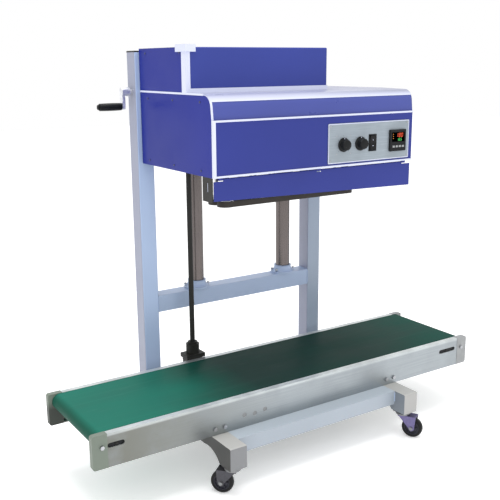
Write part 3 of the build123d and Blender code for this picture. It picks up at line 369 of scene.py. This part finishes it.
# Paints, as linear RGB. Some are lighter or darker copies of one paint, standing in for painted light and shade,
# as marked.
BLUE = (0.024, 0.036, 0.228)
# A lighter copy of the blue paint for the upper box, as painted light.
LIT_BOX_BLUE = (0.033, 0.050, 0.265)
# A darker copy of the blue paint for the head's sides, as painted shade.
SHADED_SIDE_BLUE = (0.011, 0.020, 0.228)
# A lighter copy of the blue paint for the hood, as painted light.
LIT_HOOD_BLUE = (0.046, 0.064, 0.290)
GREY = (0.350, 0.442, 0.612)
BEAM_GREY = (0.335, 0.380, 0.432)
# A lighter copy of the grey paint for the columns, as painted light.
LIT_COLUMN_GREY = (0.383, 0.490, 0.694)
FOOT_GREY = (0.195, 0.200, 0.208)
BLACK = (0.012, 0.012, 0.010)

# Rubbed paint, and the grain of metals along X, Y and Z (larger is finer).
WORN_BLUE = (0.20, 0.23, 0.46)
WORN_GREY = (0.62, 0.65, 0.70)
WORN_IRON = (0.40, 0.40, 0.41)
WORN_BLACK = (0.12, 0.115, 0.11)
NO_GRAIN = (200, 200, 200)
ROLLED = (120, 120, 120)

M = {
    "blue_paint": powder_coat("blue_paint", BLUE, 0.34, WORN_BLUE, coat=0.06, sheen=0.22),
    "shaded_side_blue": powder_coat("shaded_side_blue", SHADED_SIDE_BLUE, 0.34, WORN_BLUE, coat=0.03, sheen=0.15),
    "lit_box_blue": powder_coat("lit_box_blue", LIT_BOX_BLUE, 0.34, WORN_BLUE, coat=0.06, sheen=0.22),
    "lit_hood_blue": powder_coat("lit_hood_blue", LIT_HOOD_BLUE, 0.32, WORN_BLUE, coat=0.2, sheen=0.4),
    "beam_paint": powder_coat("beam_paint", BEAM_GREY, 0.40, WORN_GREY, 0.15, painted_shading=painted_lit_tops),
    "grey_paint": powder_coat("grey_paint", GREY, 0.40, WORN_GREY, coat=0.15),
    "foot_paint": powder_coat("foot_paint", FOOT_GREY, 0.46, WORN_IRON, 0.1, painted_shading=painted_foot_shading),
    "column_paint": powder_coat("column_paint", LIT_COLUMN_GREY, 0.40, WORN_GREY, 0.15, painted_shading=painted_column_shade),
    "black_paint": powder_coat("black_paint", BLACK, 0.42, WORN_BLACK, sheen=0.25),
    "white_trim": trim_material(),
    "rail_metal": rail_material(),
    "bright_steel": brushed_metal("bright_steel", (0.60, 0.61, 0.63), (40, 40, 500), 0.26),
    "crank_chrome": brushed_metal("crank_chrome", (0.84, 0.85, 0.88), (90, 90, 90), 0.34, 0.9),
    "shaft_steel": brushed_metal("shaft_steel", (0.25, 0.255, 0.26), NO_GRAIN, 0.36, 0.9),
    "bolt_zinc": brushed_metal("bolt_zinc", (0.42, 0.43, 0.45), NO_GRAIN, 0.30),
    "dark_screw": brushed_metal("dark_screw", (0.075, 0.080, 0.150), NO_GRAIN, 0.38, 0.8),
    "post_steel": brushed_metal("post_steel", (0.140, 0.122, 0.118), (500, 500, 6), 0.22, 0.9),
    "silver_plate": brushed_metal("silver_plate", (0.305, 0.352, 0.395), (8, 500, 700), 0.42, 0.35),
    "bronze": brushed_metal("bronze", (0.50, 0.33, 0.15), (300, 300, 60), 0.34),
    "block_alu": brushed_metal("block_alu", (0.60, 0.60, 0.61), (30, 400, 400), 0.36),
    "fork_zinc": brushed_metal("fork_zinc", (0.075, 0.074, 0.084), ROLLED, 0.40, 0.8),
    "fork_violet": brushed_metal("fork_violet", (0.175, 0.152, 0.300), ROLLED, 0.40, 0.8),
    "cap_grey": cap_material(),
    "hub_grey": moulded("hub_grey", (0.030, 0.030, 0.042), 0.5),
    "black_plastic": moulded("black_plastic", (0.007, 0.008, 0.009), 0.36, sheen=0.18),
    "band_tan": moulded("band_tan", (0.020, 0.016, 0.013), 0.5, 1200.0),
    "wheel_rubber": moulded("wheel_rubber", (0.009, 0.009, 0.010), 0.55, 500.0, 0.3, sheen=0.2),
    "belt_green": belt_material(),
}
SLOT_OF = {part["node"]: part["material_slot"] for part in frame["record"]["subparts"]}


def dress(piece, material):
    """Puts one material in a piece's slots, without touching its mesh."""
    piece.data.materials.clear()
    piece.data.materials.append(material)


for node_name, node in nodes.items():
    dress(node, M[SLOT_OF[node_name]])
# The hood, upper box, head sides and columns get lighter or darker copies of their paint, as painted light and
# shade.
dress(nodes["hood_cover"], M["lit_hood_blue"])
dress(nodes["upper_cover"], M["lit_box_blue"])
for side in ("head_side_left", "head_side_right"):
    dress(nodes[side], M["shaded_side_blue"])
dress(nodes["base_beams"], M["beam_paint"])
dress(nodes["columns"], M["column_paint"])
dress(nodes["head_base_plate"], M["blue_paint"])
dress(nodes["crank"], M["crank_chrome"])
for fork in ("caster_fork_front_right", "caster_fork_rear_right"):
    dress(nodes[fork], M["fork_violet"])
for shaft in ("drive_drum", "snub_roller_left", "snub_roller_right"):
    dress(nodes[shaft], M["shaft_steel"])


# ---- mesh kit --------------------------------------------------------------------------------
def piece_from(bm, name, body, material, smooth=True):
    """Turns a bmesh in the row frame into a piece that rides on a body."""
    bmesh.ops.recalc_face_normals(bm, faces=bm.faces)
    mesh = bpy.data.meshes.new(name)
    bm.to_mesh(mesh)
    bm.free()
    piece = bpy.data.objects.new(name, mesh)
    bpy.context.scene.collection.objects.link(piece)
    dress(piece, material)
    if smooth:
        for polygon in mesh.polygons:
            polygon.use_smooth = True
        mesh.set_sharp_from_angle(angle=math.radians(38))
    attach(piece, body)
    return piece


def add_block(bm, low, high, bevel=0.0, turn=None):
    """A box between two corners with rounded edges, turned about its own centre if asked."""
    low, high = Vector(low), Vector(high)
    middle = (low + high) / 2
    place = Matrix.Translation(middle) @ (turn or Matrix.Identity(4))
    made = bmesh.ops.create_cube(bm, size=1.0)["verts"]
    bmesh.ops.scale(bm, vec=high - low, verts=made)
    if bevel:
        edges = list({e for v in made for e in v.link_edges})
        rounding = {"offset": bevel, "segments": 3, "affect": "EDGES", "profile": 0.6}
        made = bmesh.ops.bevel(bm, geom=edges, **rounding)["verts"]
        faces = {face for vert in made for face in vert.link_faces}
        made = list(set(made) | {vert for face in faces for vert in face.verts})
    bmesh.ops.transform(bm, matrix=place, verts=made)


def add_lathe(bm, outline, base, direction, steps=40):
    """Turns (distance along the axis, radius) points round an axis."""
    u, v, w = axes_for(direction)
    rings = []
    for along, r in outline:
        spot = Vector(base) + w * along
        if r < 1e-7:
            rings.append([bm.verts.new(spot)])
            continue
        turns = [2 * math.pi * k / steps for k in range(steps)]
        rings.append([bm.verts.new(spot + (u * math.cos(t) + v * math.sin(t)) * r) for t in turns])
    for a, b in zip(rings, rings[1:]):
        if len(a) == 1 and len(b) == 1:
            continue
        for k in range(steps):
            j = (k + 1) % steps
            if len(a) == 1:
                bm.faces.new((a[0], b[j], b[k]))
            elif len(b) == 1:
                bm.faces.new((a[k], a[j], b[0]))
            else:
                bm.faces.new((a[k], a[j], b[j], b[k]))


def add_prism(bm, points, base, direction, depth, spin=0.0):
    """A flat outline of (u, v) points, pushed along a direction."""
    u, v, w = axes_for(direction)
    c, s = math.cos(spin), math.sin(spin)
    flat = [Vector(base) + u * (a * c - b * s) + v * (a * s + b * c) for a, b in points]
    bottom = [bm.verts.new(p) for p in flat]
    top = [bm.verts.new(p + w * depth) for p in flat]
    bm.faces.new(bottom[::-1])
    bm.faces.new(top)
    for k in range(len(flat)):
        j = (k + 1) % len(flat)
        bm.faces.new((bottom[k], bottom[j], top[j], top[k]))


def add_hex_bolt(bm, at, direction, across, height):
    """A hexagon head with its chamfered top, a washer under it and the dished centre."""
    w = Vector(direction).normalized()
    r = across / math.sqrt(3)
    washer_r = across * 0.72
    add_lathe(bm, [(0, 0), (0, washer_r), (height * 0.16, washer_r), (height * 0.2, 0)], at, w, 24)
    ring = [(r * math.cos(math.pi * k / 3), r * math.sin(math.pi * k / 3)) for k in range(6)]
    add_prism(bm, ring, Vector(at) + w * height * 0.16, w, height * 0.72)
    cap = [(0, across * 0.5), (height * 0.12, across * 0.43), (height * 0.12, 0)]
    add_lathe(bm, cap, Vector(at) + w * height * 0.88, w, 24)


def add_pan_screw(bm, at, direction, r, spin=0.4):
    """A domed screw head with a cross recess cut as four raised quarters."""
    w = Vector(direction).normalized()
    dome = [(0, 0), (0, r), (r * 0.25, r * 0.98), (r * 0.5, r * 0.72), (r * 0.6, r * 0.3), (r * 0.6, 0)]
    add_lathe(bm, dome, at, w, 20)
    arm = [(-r * 0.5, -r * 0.09), (r * 0.5, -r * 0.09), (r * 0.5, r * 0.09), (-r * 0.5, r * 0.09)]
    for quarter in (0, math.pi / 2):
        add_prism(bm, arm, Vector(at) + w * r * 0.52, w, r * 0.1, spin + quarter)


# ---- casters ---------------------------------------------------------------------------------
JOINTS = {joint["name"]: joint for joint in frame["joints"]}


def caster_wheel(where):
    """A rubber tyre on a ribbed plastic centre, in place of the plain CAD wheel."""
    joint = JOINTS[f"caster_roll_{where}"]
    hub_at, axis = Vector(joint["pos_m"]), Vector(joint["axis"])
    u, v, w = axes_for(axis)
    bm = bmesh.new()
    tread = [(-11.4, 27), (-11.6, 33), (-9.3, 35.2), (-6, 36.9), (0, 37.4), (6, 36.9), (9.3, 35.2)]
    tread += [(11.6, 33), (11.4, 27), (-11.4, 27)]
    add_lathe(bm, [(a * MM, r * MM) for a, r in tread], hub_at, axis, 72)
    tyre = piece_from(bm, f"tyre_{where}", f"caster_wheel_{where}", M["wheel_rubber"])
    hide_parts(f"caster_wheel_{where}")
    bm = bmesh.new()
    centre_line = [(-13.8, 4.1), (-13.8, 9), (-12.5, 10.5), (-5, 11.5), (-4, 22),
                   (-9.5, 24), (-9.5, 27.2)]
    mirrored = [(-a, r) for a, r in reversed(centre_line)]
    outline = centre_line + mirrored + [centre_line[0]]
    add_lathe(bm, [(a * MM, r * MM) for a, r in outline], hub_at, axis, 60)
    for k in range(6):
        turn = Matrix.Rotation(math.pi * k / 3, 3, w)
        spoke = turn @ (u * 17 * MM)
        frame_turn = Matrix((turn @ u, turn @ v, w)).transposed().to_4x4()
        half = Vector((6.5, 1.2, 8.5)) * MM
        add_block(bm, hub_at + spoke - half, hub_at + spoke + half, 0.6 * MM, frame_turn)
    hub = piece_from(bm, f"wheel_hub_{where}", f"caster_wheel_{where}", M["hub_grey"])
    return hub


def caster_fork_details(where):
    """Raceway rim, axle bolt and nut on a fork."""
    swivel, roll = JOINTS[f"caster_swivel_{where}"], JOINTS[f"caster_roll_{where}"]
    top = Vector(swivel["pos_m"])
    top.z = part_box("caster_plates")[0].z
    body = f"caster_fork_{where}"
    bm = bmesh.new()
    race = [(-9, 24), (-9, 25.6), (-7, 27), (-3.5, 27), (-1.2, 25.5), (-0.6, 24), (-9, 24)]
    add_lathe(bm, [(a * MM, r * MM) for a, r in race], top, UP, 48)
    axle, axis = Vector(roll["pos_m"]), Vector(roll["axis"])
    add_hex_bolt(bm, axle + axis * 18.6 * MM, axis, 11 * MM, 4.5 * MM)
    add_hex_bolt(bm, axle - axis * 18.6 * MM, -axis, 11 * MM, 4.5 * MM)
    piece_from(bm, f"fork_fittings_{where}", body, M["shaft_steel"])


for corner in ("front_left", "front_right", "rear_left", "rear_right"):
    caster_wheel(corner)
    caster_fork_details(corner)


# ---- weld beads on the stand -----------------------------------------------------------------
def add_bead(bm, start, end, radius):
    """A weld bead with its row of ripples."""
    start, end = Vector(start), Vector(end)
    steps = max(6, int((end - start).length / (2.2 * MM)))
    outline = [(0, 0)]
    span = (end - start).length
    for k in range(steps):
        along = span * (k + 0.5) / steps
        swell = radius * (1 + 0.16 * (1 if k % 2 else -1) + 0.08 * math.sin(1.7 * k))
        outline.append((along, swell))
    outline.append((span, 0))
    add_lathe(bm, outline, start, end - start, 10)


def stand_welds():
    """Beads where the crossbars, the base beams and the columns meet."""
    bm = bmesh.new()
    r = 2.2 * MM
    for bar in ("mid_crossbar", "upper_crossbar"):
        low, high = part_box(bar)
        for x in (low.x, high.x):
            for y in (low.y, high.y):
                add_bead(bm, (x, y, low.z + 4 * MM), (x, y, high.z - 4 * MM), r)
            for z in (low.z, high.z):
                add_bead(bm, (x, low.y + 4 * MM, z), (x, high.y - 4 * MM, z), r)
    low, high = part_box("base_beams")
    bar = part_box("mid_crossbar")
    depth = bar[1].y - bar[0].y
    for x in (low.x, high.x):
        for y in (low.y, low.y + depth, high.y - depth, high.y):
            add_bead(bm, (x, y, low.z + 10 * MM), (x, y, high.z - 5 * MM), r)
    low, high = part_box("columns")
    for left, right in ((low.x, low.x + depth), (high.x - depth, high.x)):
        for y in (low.y, high.y):
            add_bead(bm, (left + 5 * MM, y, low.z), (right - 5 * MM, y, low.z), r)
        for x in (left, right):
            add_bead(bm, (x, low.y + 5 * MM, low.z), (x, high.y - 5 * MM, low.z), r)
    piece_from(bm, "stand_welds", "stand", M["grey_paint"])


stand_welds()


# ---- temperature controller ------------------------------------------------------------------
FACE_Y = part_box("temperature_controller")[0].y
METER = centre("temperature_controller")
# Which of the seven segments are lit for each figure.
LIT = {"0": "abcdef", "1": "bc", "2": "abged", "5": "afgcd", "6": "afgedc", "8": "abcdefg"}


def add_digit(bm, char, x, z, height, depth_y):
    """One seven-segment figure, leaning a little, facing -Y."""
    w, h, t = height * 0.5, height, height * 0.13
    places = {
        "a": (0, h / 2, True), "g": (0, 0, True), "d": (0, -h / 2, True),
        "b": (w / 2, h / 4, False), "c": (w / 2, -h / 4, False),
        "f": (-w / 2, h / 4, False), "e": (-w / 2, -h / 4, False),
    }
    for segment in LIT[char]:
        dx, dz, flat = places[segment]
        long, short = (w * 0.36, t / 2) if flat else (h * 0.19, t / 2)
        outline = [(-long - short, 0), (-long, short), (long, short), (long + short, 0)]
        outline += [(long, -short), (-long, -short)]
        if not flat:
            outline = [(b, a) for a, b in outline]
        lean = 0.12
        points = [(-(dx + a + lean * (dz + b)), dz + b) for a, b in outline]
        sign = 1.0 if axes_for(FORWARD)[0].x < 0 else -1.0
        add_prism(bm, [(sign * a, b) for a, b in points], (x, depth_y, z), FORWARD, 0.25 * MM)


def meter_face():
    """Window, lit figures, keys and lamps of the temperature controller."""
    window_y = FACE_Y + 1.0 * MM
    bm = bmesh.new()
    low = (METER.x - 28.6 * MM, window_y, METER.z - 4.6 * MM)
    add_block(bm, low, (METER.x + 28.6 * MM, window_y + 0.6 * MM, METER.z + 27.6 * MM), 0.2 * MM)
    piece_from(bm, "meter_window", "head", dark_window("meter_window"))
    rows = (
        ("180", 17.5, 12.0, "meter_red", (1.0, 0.10, 0.03)),
        ("165", 2.6, 8.0, "meter_green", (0.10, 0.8, 0.15)),
    )
    for text, dz, height, name, colour in rows:
        bm = bmesh.new()
        for k, char in enumerate(text):
            x = METER.x + (k - 1) * height * 0.92 * MM + 6 * MM
            add_digit(bm, char, x, METER.z + dz * MM, height * MM, window_y)
        piece_from(bm, name, "head", glow(name, colour, 0.6), smooth=False)
    bm = bmesh.new()
    for k in range(4):
        x = METER.x + (k - 1.5) * 14.0 * MM
        z = METER.z - 20.0 * MM
        low = (x - 4.8 * MM, FACE_Y - 1.3 * MM, z - 3.4 * MM)
        add_block(bm, low, (x + 4.8 * MM, FACE_Y + 0.5 * MM, z + 3.4 * MM), 1.0 * MM)
    piece_from(bm, "meter_keys", "head", M["cap_grey"])
    bm = bmesh.new()
    for k in range(3):
        spot = (METER.x - 22 * MM, window_y, METER.z + (21 - 7 * k) * MM)
        add_lathe(bm, [(0, 0), (0, 1.3 * MM), (0.3 * MM, 1.0 * MM), (0.4 * MM, 0)], spot, FORWARD, 16)
    piece_from(bm, "meter_lamps", "head", glow("meter_lamps", (1.0, 0.35, 0.05), 0.7))


meter_face()


# ---- knobs, rocker and plate printing --------------------------------------------------------
PLATE_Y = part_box("control_plate")[0].y


def fluted_knob(node, flutes):
    """A skirted knob with a fluted grip and a turned metal cap, in place of the plain CAD one."""
    low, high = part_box(node)
    x, z = (low.x + high.x) / 2, (low.z + high.z) / 2
    r = (high.x - low.x) / 2
    depth = PLATE_Y - 0.3 * MM - low.y
    at = Vector((x, PLATE_Y - 0.3 * MM, z))
    u, v, w = axes_for(FORWARD)
    bm = bmesh.new()
    add_lathe(bm, [(0, 0), (0, r), (2.2 * MM, r), (4.5 * MM, r * 0.86), (5.5 * MM, 0)], at, w, 64)
    steps = flutes * 6
    rings = []
    grip_line = ((4.8 * MM, 0.80), (depth - 2 * MM, 0.74), (depth - 0.5 * MM, 0.70), (depth, 0.62))
    for along, scale in grip_line:
        ring = []
        for k in range(steps):
            t = 2 * math.pi * k / steps
            dip = 1 - 0.045 * (0.5 - 0.5 * math.cos(flutes * t)) ** 3
            outward = u * math.cos(t) + v * math.sin(t)
            ring.append(bm.verts.new(at + w * along + outward * r * scale * dip))
        rings.append(ring)
    for a, b in zip(rings, rings[1:]):
        for k in range(steps):
            j = (k + 1) % steps
            bm.faces.new((a[k], a[j], b[j], b[k]))
    bm.faces.new(rings[-1])
    bm.faces.new(rings[0][::-1])
    grip = piece_from(bm, f"{node}_grip", node, M["black_plastic"])
    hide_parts(node)
    bm = bmesh.new()
    rim = r * 0.5
    cap = [(-1 * MM, 0), (-1 * MM, rim), (-0.2 * MM, rim), (0.0, rim * 0.94)]
    cap += [(-0.15 * MM, rim * 0.5), (-0.15 * MM, 0)]
    add_lathe(bm, cap, at + w * depth, w, 40)
    piece_from(bm, f"{node}_cap", node, M["block_alu"])
    bm = bmesh.new()
    low = Vector((x - 0.9 * MM, at.y - 5.3 * MM, z + r * 0.55))
    add_block(bm, low, (x + 0.9 * MM, at.y - 2.4 * MM, z + r * 0.97), 0.2 * MM)
    piece_from(bm, f"{node}_pointer", node, M["white_trim"])


def plate_frame():
    """A thin bright frame round the control plate's edge."""
    low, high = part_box("control_plate")
    y0, y1 = low.y - 0.5 * MM, low.y + 0.2 * MM
    width, inset = 2.4 * MM, 1.0 * MM
    left, right = low.x + inset, high.x - inset
    foot, head = low.z + inset, high.z - inset
    bm = bmesh.new()
    add_block(bm, (left, y0, foot + width), (left + width, y1, head - width), 0.2 * MM)
    add_block(bm, (right - width, y0, foot + width), (right, y1, head - width), 0.2 * MM)
    add_block(bm, (left, y0, foot), (right, y1, foot + width), 0.2 * MM)
    add_block(bm, (left, y0, head - width), (right, y1, head), 0.2 * MM)
    piece_from(bm, "plate_frame", "head", M["white_trim"])


def infeed_strip():
    """A light wear strip let into the slot of the infeed angle."""
    low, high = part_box("infeed_guide")
    middle = Vector((low.x + 1.7 * MM, low.y + 27 * MM, high.z - 30 * MM))
    half = Vector((0.6, 2.2, 14.2)) * MM
    bm = bmesh.new()
    add_block(bm, middle - half, middle + half, 0.4 * MM)
    piece_from(bm, "infeed_strip", "head", M["white_trim"])


def grip_end():
    """A dark domed cap over the end of the crank's grip pin."""
    spot = Vector(JOINTS["crank_grip_spin"]["pos_m"])
    spot.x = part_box("crank")[0].x + 4.2 * MM
    dome = [(0, 8.2), (2.0, 8.9), (4.4, 8.2), (5.6, 5.5), (6.0, 0)]
    bm = bmesh.new()
    add_lathe(bm, [(a * MM, r * MM) for a, r in dome], spot, (-1, 0, 0), 40)
    piece_from(bm, "grip_end", "crank", M["black_plastic"])


def dial_marks(node, first, last, count):
    """A ring of printed marks round a knob, long ones at the ends and middle."""
    spot = centre(node)
    low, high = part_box(node)
    r = (high.x - low.x) / 2
    bm = bmesh.new()
    for k in range(count):
        t = math.radians(first + (last - first) * k / (count - 1))
        length = 5.0 if k % 5 == 0 else 3.0
        mid = r + (2.5 + length / 2) * MM
        at = Vector((spot.x + mid * math.sin(t), PLATE_Y, spot.z + mid * math.cos(t)))
        half = Vector((0.35, 0.12, length / 2)) * MM
        add_block(bm, at - half, at + half, 0.0, Matrix.Rotation(t, 4, "Y"))
    piece_from(bm, f"{node}_marks", "head", M["black_plastic"], smooth=False)


def rocker_details():
    """A bezel round the rocker and the two marks on its halves."""
    low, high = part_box("rocker_switch")
    x, z = (low.x + high.x) / 2, (low.z + high.z) / 2
    bm = bmesh.new()
    inner = Vector((13.0, 0, (high.z - low.z) / 2 / MM + 1.2)) * MM
    outer = inner + Vector((3.5, 0, 2.6)) * MM
    front, back = PLATE_Y - 2.2 * MM, PLATE_Y + 0.2 * MM
    for side in (-1, 1):
        near, far = sorted((side * inner.x, side * outer.x))
        add_block(bm, (x + near, front, z - outer.z), (x + far, back, z + outer.z), 0.7 * MM)
        near, far = sorted((side * inner.z, side * outer.z))
        add_block(bm, (x - outer.x, front, z + near), (x + outer.x, back, z + far), 0.7 * MM)
    piece_from(bm, "rocker_bezel", "head", M["black_plastic"])
    bm = bmesh.new()
    tip = low.y
    slope = math.atan2(3.0, 19.0)
    for side in (-1, 1):
        turn = Matrix.Rotation(-side * slope, 4, "X")
        at = Vector((x, tip + 1.55 * MM, z + side * 10 * MM))
        half = Vector((0.7, 0.25, 3.2)) * MM if side > 0 else Vector((2.6, 0.25, 0.7)) * MM
        add_block(bm, at - half, at + half, 0.0, turn)
    piece_from(bm, "rocker_marks", "rocker_switch", M["white_trim"], smooth=False)


fluted_knob("speed_knob", 18)
fluted_knob("selector_knob", 12)
dial_marks("speed_knob", -135, 135, 11)
dial_marks("selector_knob", -45, 45, 2)
rocker_details()
plate_frame()
infeed_strip()
grip_end()


# ---- screws and bolts ------------------------------------------------------------------------
def casing_screws():
    """Screws of the control plate, then those of the painted covers."""
    bm = bmesh.new()
    low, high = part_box("control_plate")
    for x in (low.x + 9 * MM, high.x - 9 * MM):
        for z in (low.z + 9 * MM, high.z - 9 * MM):
            add_pan_screw(bm, (x, low.y, z), FORWARD, 3.2 * MM, x * 9)
    piece_from(bm, "plate_screws", "head", M["bolt_zinc"])
    bm = bmesh.new()
    side_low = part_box("head_side_left")[0]
    box_low, box_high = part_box("upper_cover")
    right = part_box("head_side_right")[1].x
    for x, out, spin in ((side_low.x, -1, 11), (right, 1, 7)):
        for y in (-0.15, 0.02, 0.19):
            for z in (side_low.z + 16 * MM, box_low.z - 22 * MM):
                add_pan_screw(bm, (x, y, z), (out, 0, 0), 3.6 * MM, y * spin)
    for y in (-0.03, 0.20):
        add_pan_screw(bm, (side_low.x, y, box_high.z - 16 * MM), (-1, 0, 0), 3.6 * MM, y * 5)
    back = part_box("rear_cover")[1].y
    for x in (-0.33, -0.19, 0.16, 0.33, 0.41):
        for z in (side_low.z + 18 * MM, box_low.z - 18 * MM):
            add_pan_screw(bm, (x, back, z), BACK, 3.6 * MM, x * 7)
    piece_from(bm, "casing_screws", "head", M["dark_screw"])


def knob_screws():
    """Four small countersunk screws round the speed control."""
    spot = centre("speed_knob")
    bm = bmesh.new()
    for dx in (-29 * MM, 29 * MM):
        for dz in (-29 * MM, 29 * MM):
            add_pan_screw(bm, (spot.x + dx, PLATE_Y, spot.z + dz), FORWARD, 2.0 * MM, dx * 40)
    piece_from(bm, "speed_screws", "head", M["bolt_zinc"])


def machine_bolts():
    """Bolts and bearing covers on the two gearboxes and the sliding blocks."""
    bm = bmesh.new()
    low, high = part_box("conveyor_gearbox")
    x = (low.x + high.x) / 2
    for dx in (-20 * MM, 20 * MM):
        for dz in (14 * MM, 84 * MM):
            add_hex_bolt(bm, (x + dx, high.y, low.z + dz), BACK, 10 * MM, 4 * MM)
    shaft_z = centre("drive_drum").z
    cover = [(0, 0), (0, 17), (2.2, 17), (3.0, 16), (3.0, 9), (2.0, 8), (2.0, 0)]
    add_lathe(bm, [(a * MM, r * MM) for a, r in cover], (x, high.y, shaft_z + 16 * MM), BACK, 48)
    low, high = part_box("lift_gearbox")
    y = (low.y + high.y) / 2
    for side in (low.x + 6 * MM, high.x - 6 * MM):
        for dy in (-12 * MM, 12 * MM):
            add_hex_bolt(bm, (side, y + dy, low.z + 6 * MM), UP, 8 * MM, 4 * MM)
    for side in (low.x + 22 * MM, high.x - 22 * MM):
        for dy in (-20 * MM, 20 * MM):
            add_hex_bolt(bm, (side, y + dy, high.z), UP, 8 * MM, 3.5 * MM)
    piece_from(bm, "gearbox_bolts", "stand", M["bolt_zinc"])
    bm = bmesh.new()
    low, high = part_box("slide_blocks")
    for x in (low.x + 10 * MM, low.x + 86 * MM, high.x - 86 * MM, high.x - 10 * MM):
        for z in (low.z + 14 * MM, high.z - 14 * MM):
            add_hex_bolt(bm, (x, high.y, z), BACK, 10 * MM, 4.5 * MM)
    low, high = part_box("lift_nut")
    flange = low.y + 8 * MM
    for x in (low.x + 6 * MM, high.x - 6 * MM):
        for z in (low.z + 5.5 * MM, high.z - 5.5 * MM):
            add_hex_bolt(bm, (x, flange, z), BACK, 7 * MM, 3.5 * MM)
    piece_from(bm, "slide_bolts", "head", M["bolt_zinc"])


SLOT_SPANS = ((-726, -668), (626, 716))
SLOT_Z = 0.238


def take_up_blocks():
    """Dark sliding blocks with a tension screw behind the slots at the ends of the rails."""
    bm = bmesh.new()
    screws = bmesh.new()
    web = 4.2 * MM
    front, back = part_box("rail_front")[0].y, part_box("rail_rear")[1].y
    for face, inward in ((front, 1), (back, -1)):
        near, far = sorted((face + inward * web, face + inward * (web + 13 * MM)))
        for start, end in SLOT_SPANS:
            add_block(bm, (start * MM, near, SLOT_Z - 16 * MM),
                      (end * MM, far, SLOT_Z + 18 * MM), 1.5 * MM)
            middle = Vector(((start + end) / 2 * MM, face + inward * web, SLOT_Z))
            add_hex_bolt(screws, middle, (0, -inward, 0), 8 * MM, 3.0 * MM)
    piece_from(bm, "take_up_blocks", "stand", M["black_plastic"])
    piece_from(screws, "take_up_screws", "stand", M["black_paint"])


def add_wire(bm, points, radius, sides):
    """A round wire through a list of points."""
    rings = []
    for k, point in enumerate(points):
        ahead = points[min(k + 1, len(points) - 1)] - points[max(k - 1, 0)]
        u, v, _ = axes_for(ahead)
        turns = [2 * math.pi * n / sides for n in range(sides)]
        rings.append([bm.verts.new(point + (u * math.cos(t) + v * math.sin(t)) * radius) for t in turns])
    for a, b in zip(rings, rings[1:]):
        for n in range(sides):
            m = (n + 1) % sides
            bm.faces.new((a[n], a[m], b[m], b[n]))
    bm.faces.new(rings[0][::-1])
    bm.faces.new(rings[-1])


def works_details():
    """Compression springs, lock nuts and cap screws on the press blocks under the head."""
    bm = bmesh.new()
    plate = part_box("head_base_plate")[0].z
    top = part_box("sealing_bands")[1].z
    turns, steps, coil_r, wire = 6, 14, 8.0 * MM, 0.9 * MM
    for node in ("heater_blocks", "cooling_blocks"):
        low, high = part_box(node)
        for x in (low.x + 14 * MM, high.x - 14 * MM):
            for side in (-1, 1):
                y = (low.y + high.y) / 2 + side * 10.8 * MM
                start, span = top + 9 * MM, plate - top - 24 * MM
                points = []
                for k in range(turns * steps + 1):
                    t = 2 * math.pi * k / steps
                    rise = start + span * k / (turns * steps)
                    points.append(Vector((x + coil_r * math.cos(t), y + coil_r * math.sin(t), rise)))
                add_wire(bm, points, wire, 6)
                add_hex_bolt(bm, (x, y, top + 6 * MM), UP, 13 * MM, 3 * MM)
    piece_from(bm, "block_springs", "head", M["bolt_zinc"])


casing_screws()
knob_screws()
machine_bolts()
take_up_blocks()
works_details()


# ---- camera, light and floor -----------------------------------------------------------------
CAMERA_AT = (-1.5416, -2.2093, 1.3154)
CAMERA_TURN = (33.3, -13.2, 0.4)     # yaw, pitch and roll in degrees


def camera():
    """A camera slightly above and left of the machine's front."""
    made = bpy.data.cameras.new("camera")
    made.sensor_width, made.lens, made.clip_end = 36.0, 57.36, 60.0
    holder = bpy.data.objects.new("camera", made)
    bpy.context.scene.collection.objects.link(holder)
    holder.location = CAMERA_AT
    yaw, pitch, roll = (math.radians(angle) for angle in CAMERA_TURN)
    look = Matrix.Rotation(-yaw, 4, "Z") @ Matrix.Rotation(math.pi / 2 + pitch, 4, "X")
    holder.rotation_euler = (look @ Matrix.Rotation(-roll, 4, "Z")).to_euler()
    bpy.context.scene.camera = holder


def area_light(name, place, target, size, power):
    data = bpy.data.lights.new(name, "AREA")
    data.size = size
    data.energy = power
    lamp = bpy.data.objects.new(name, data)
    bpy.context.scene.collection.objects.link(lamp)
    lamp.location = place
    aim = Vector(target) - Vector(place)
    lamp.rotation_euler = aim.to_track_quat("-Z", "Y").to_euler()


def studio():
    """White surroundings, two soft lights and the pale floor."""
    scene = bpy.context.scene
    world = bpy.data.worlds.new("studio")
    world.use_nodes = True
    world.node_tree.nodes["Background"].inputs["Color"].default_value = (1.0, 1.0, 1.0, 1.0)
    world.node_tree.nodes["Background"].inputs["Strength"].default_value = 1.0
    scene.world = world
    scene.view_settings.view_transform = "Standard"
    area_light("key", (-0.2, -3.6, 2.8), (0, 0, 0.8), 2.4, 18)
    area_light("top", (-0.35, 0.0, 3.9), (-0.1, 0, 0.5), 2.2, 80)
    bm = bmesh.new()
    bmesh.ops.create_grid(bm, x_segments=1, y_segments=1, size=14.0)
    mesh = bpy.data.meshes.new("studio_floor")
    bm.to_mesh(mesh)
    bm.free()
    floor = bpy.data.objects.new("studio_floor", mesh)
    scene.collection.objects.link(floor)
    dress(floor, ground_material())


camera()
studio()
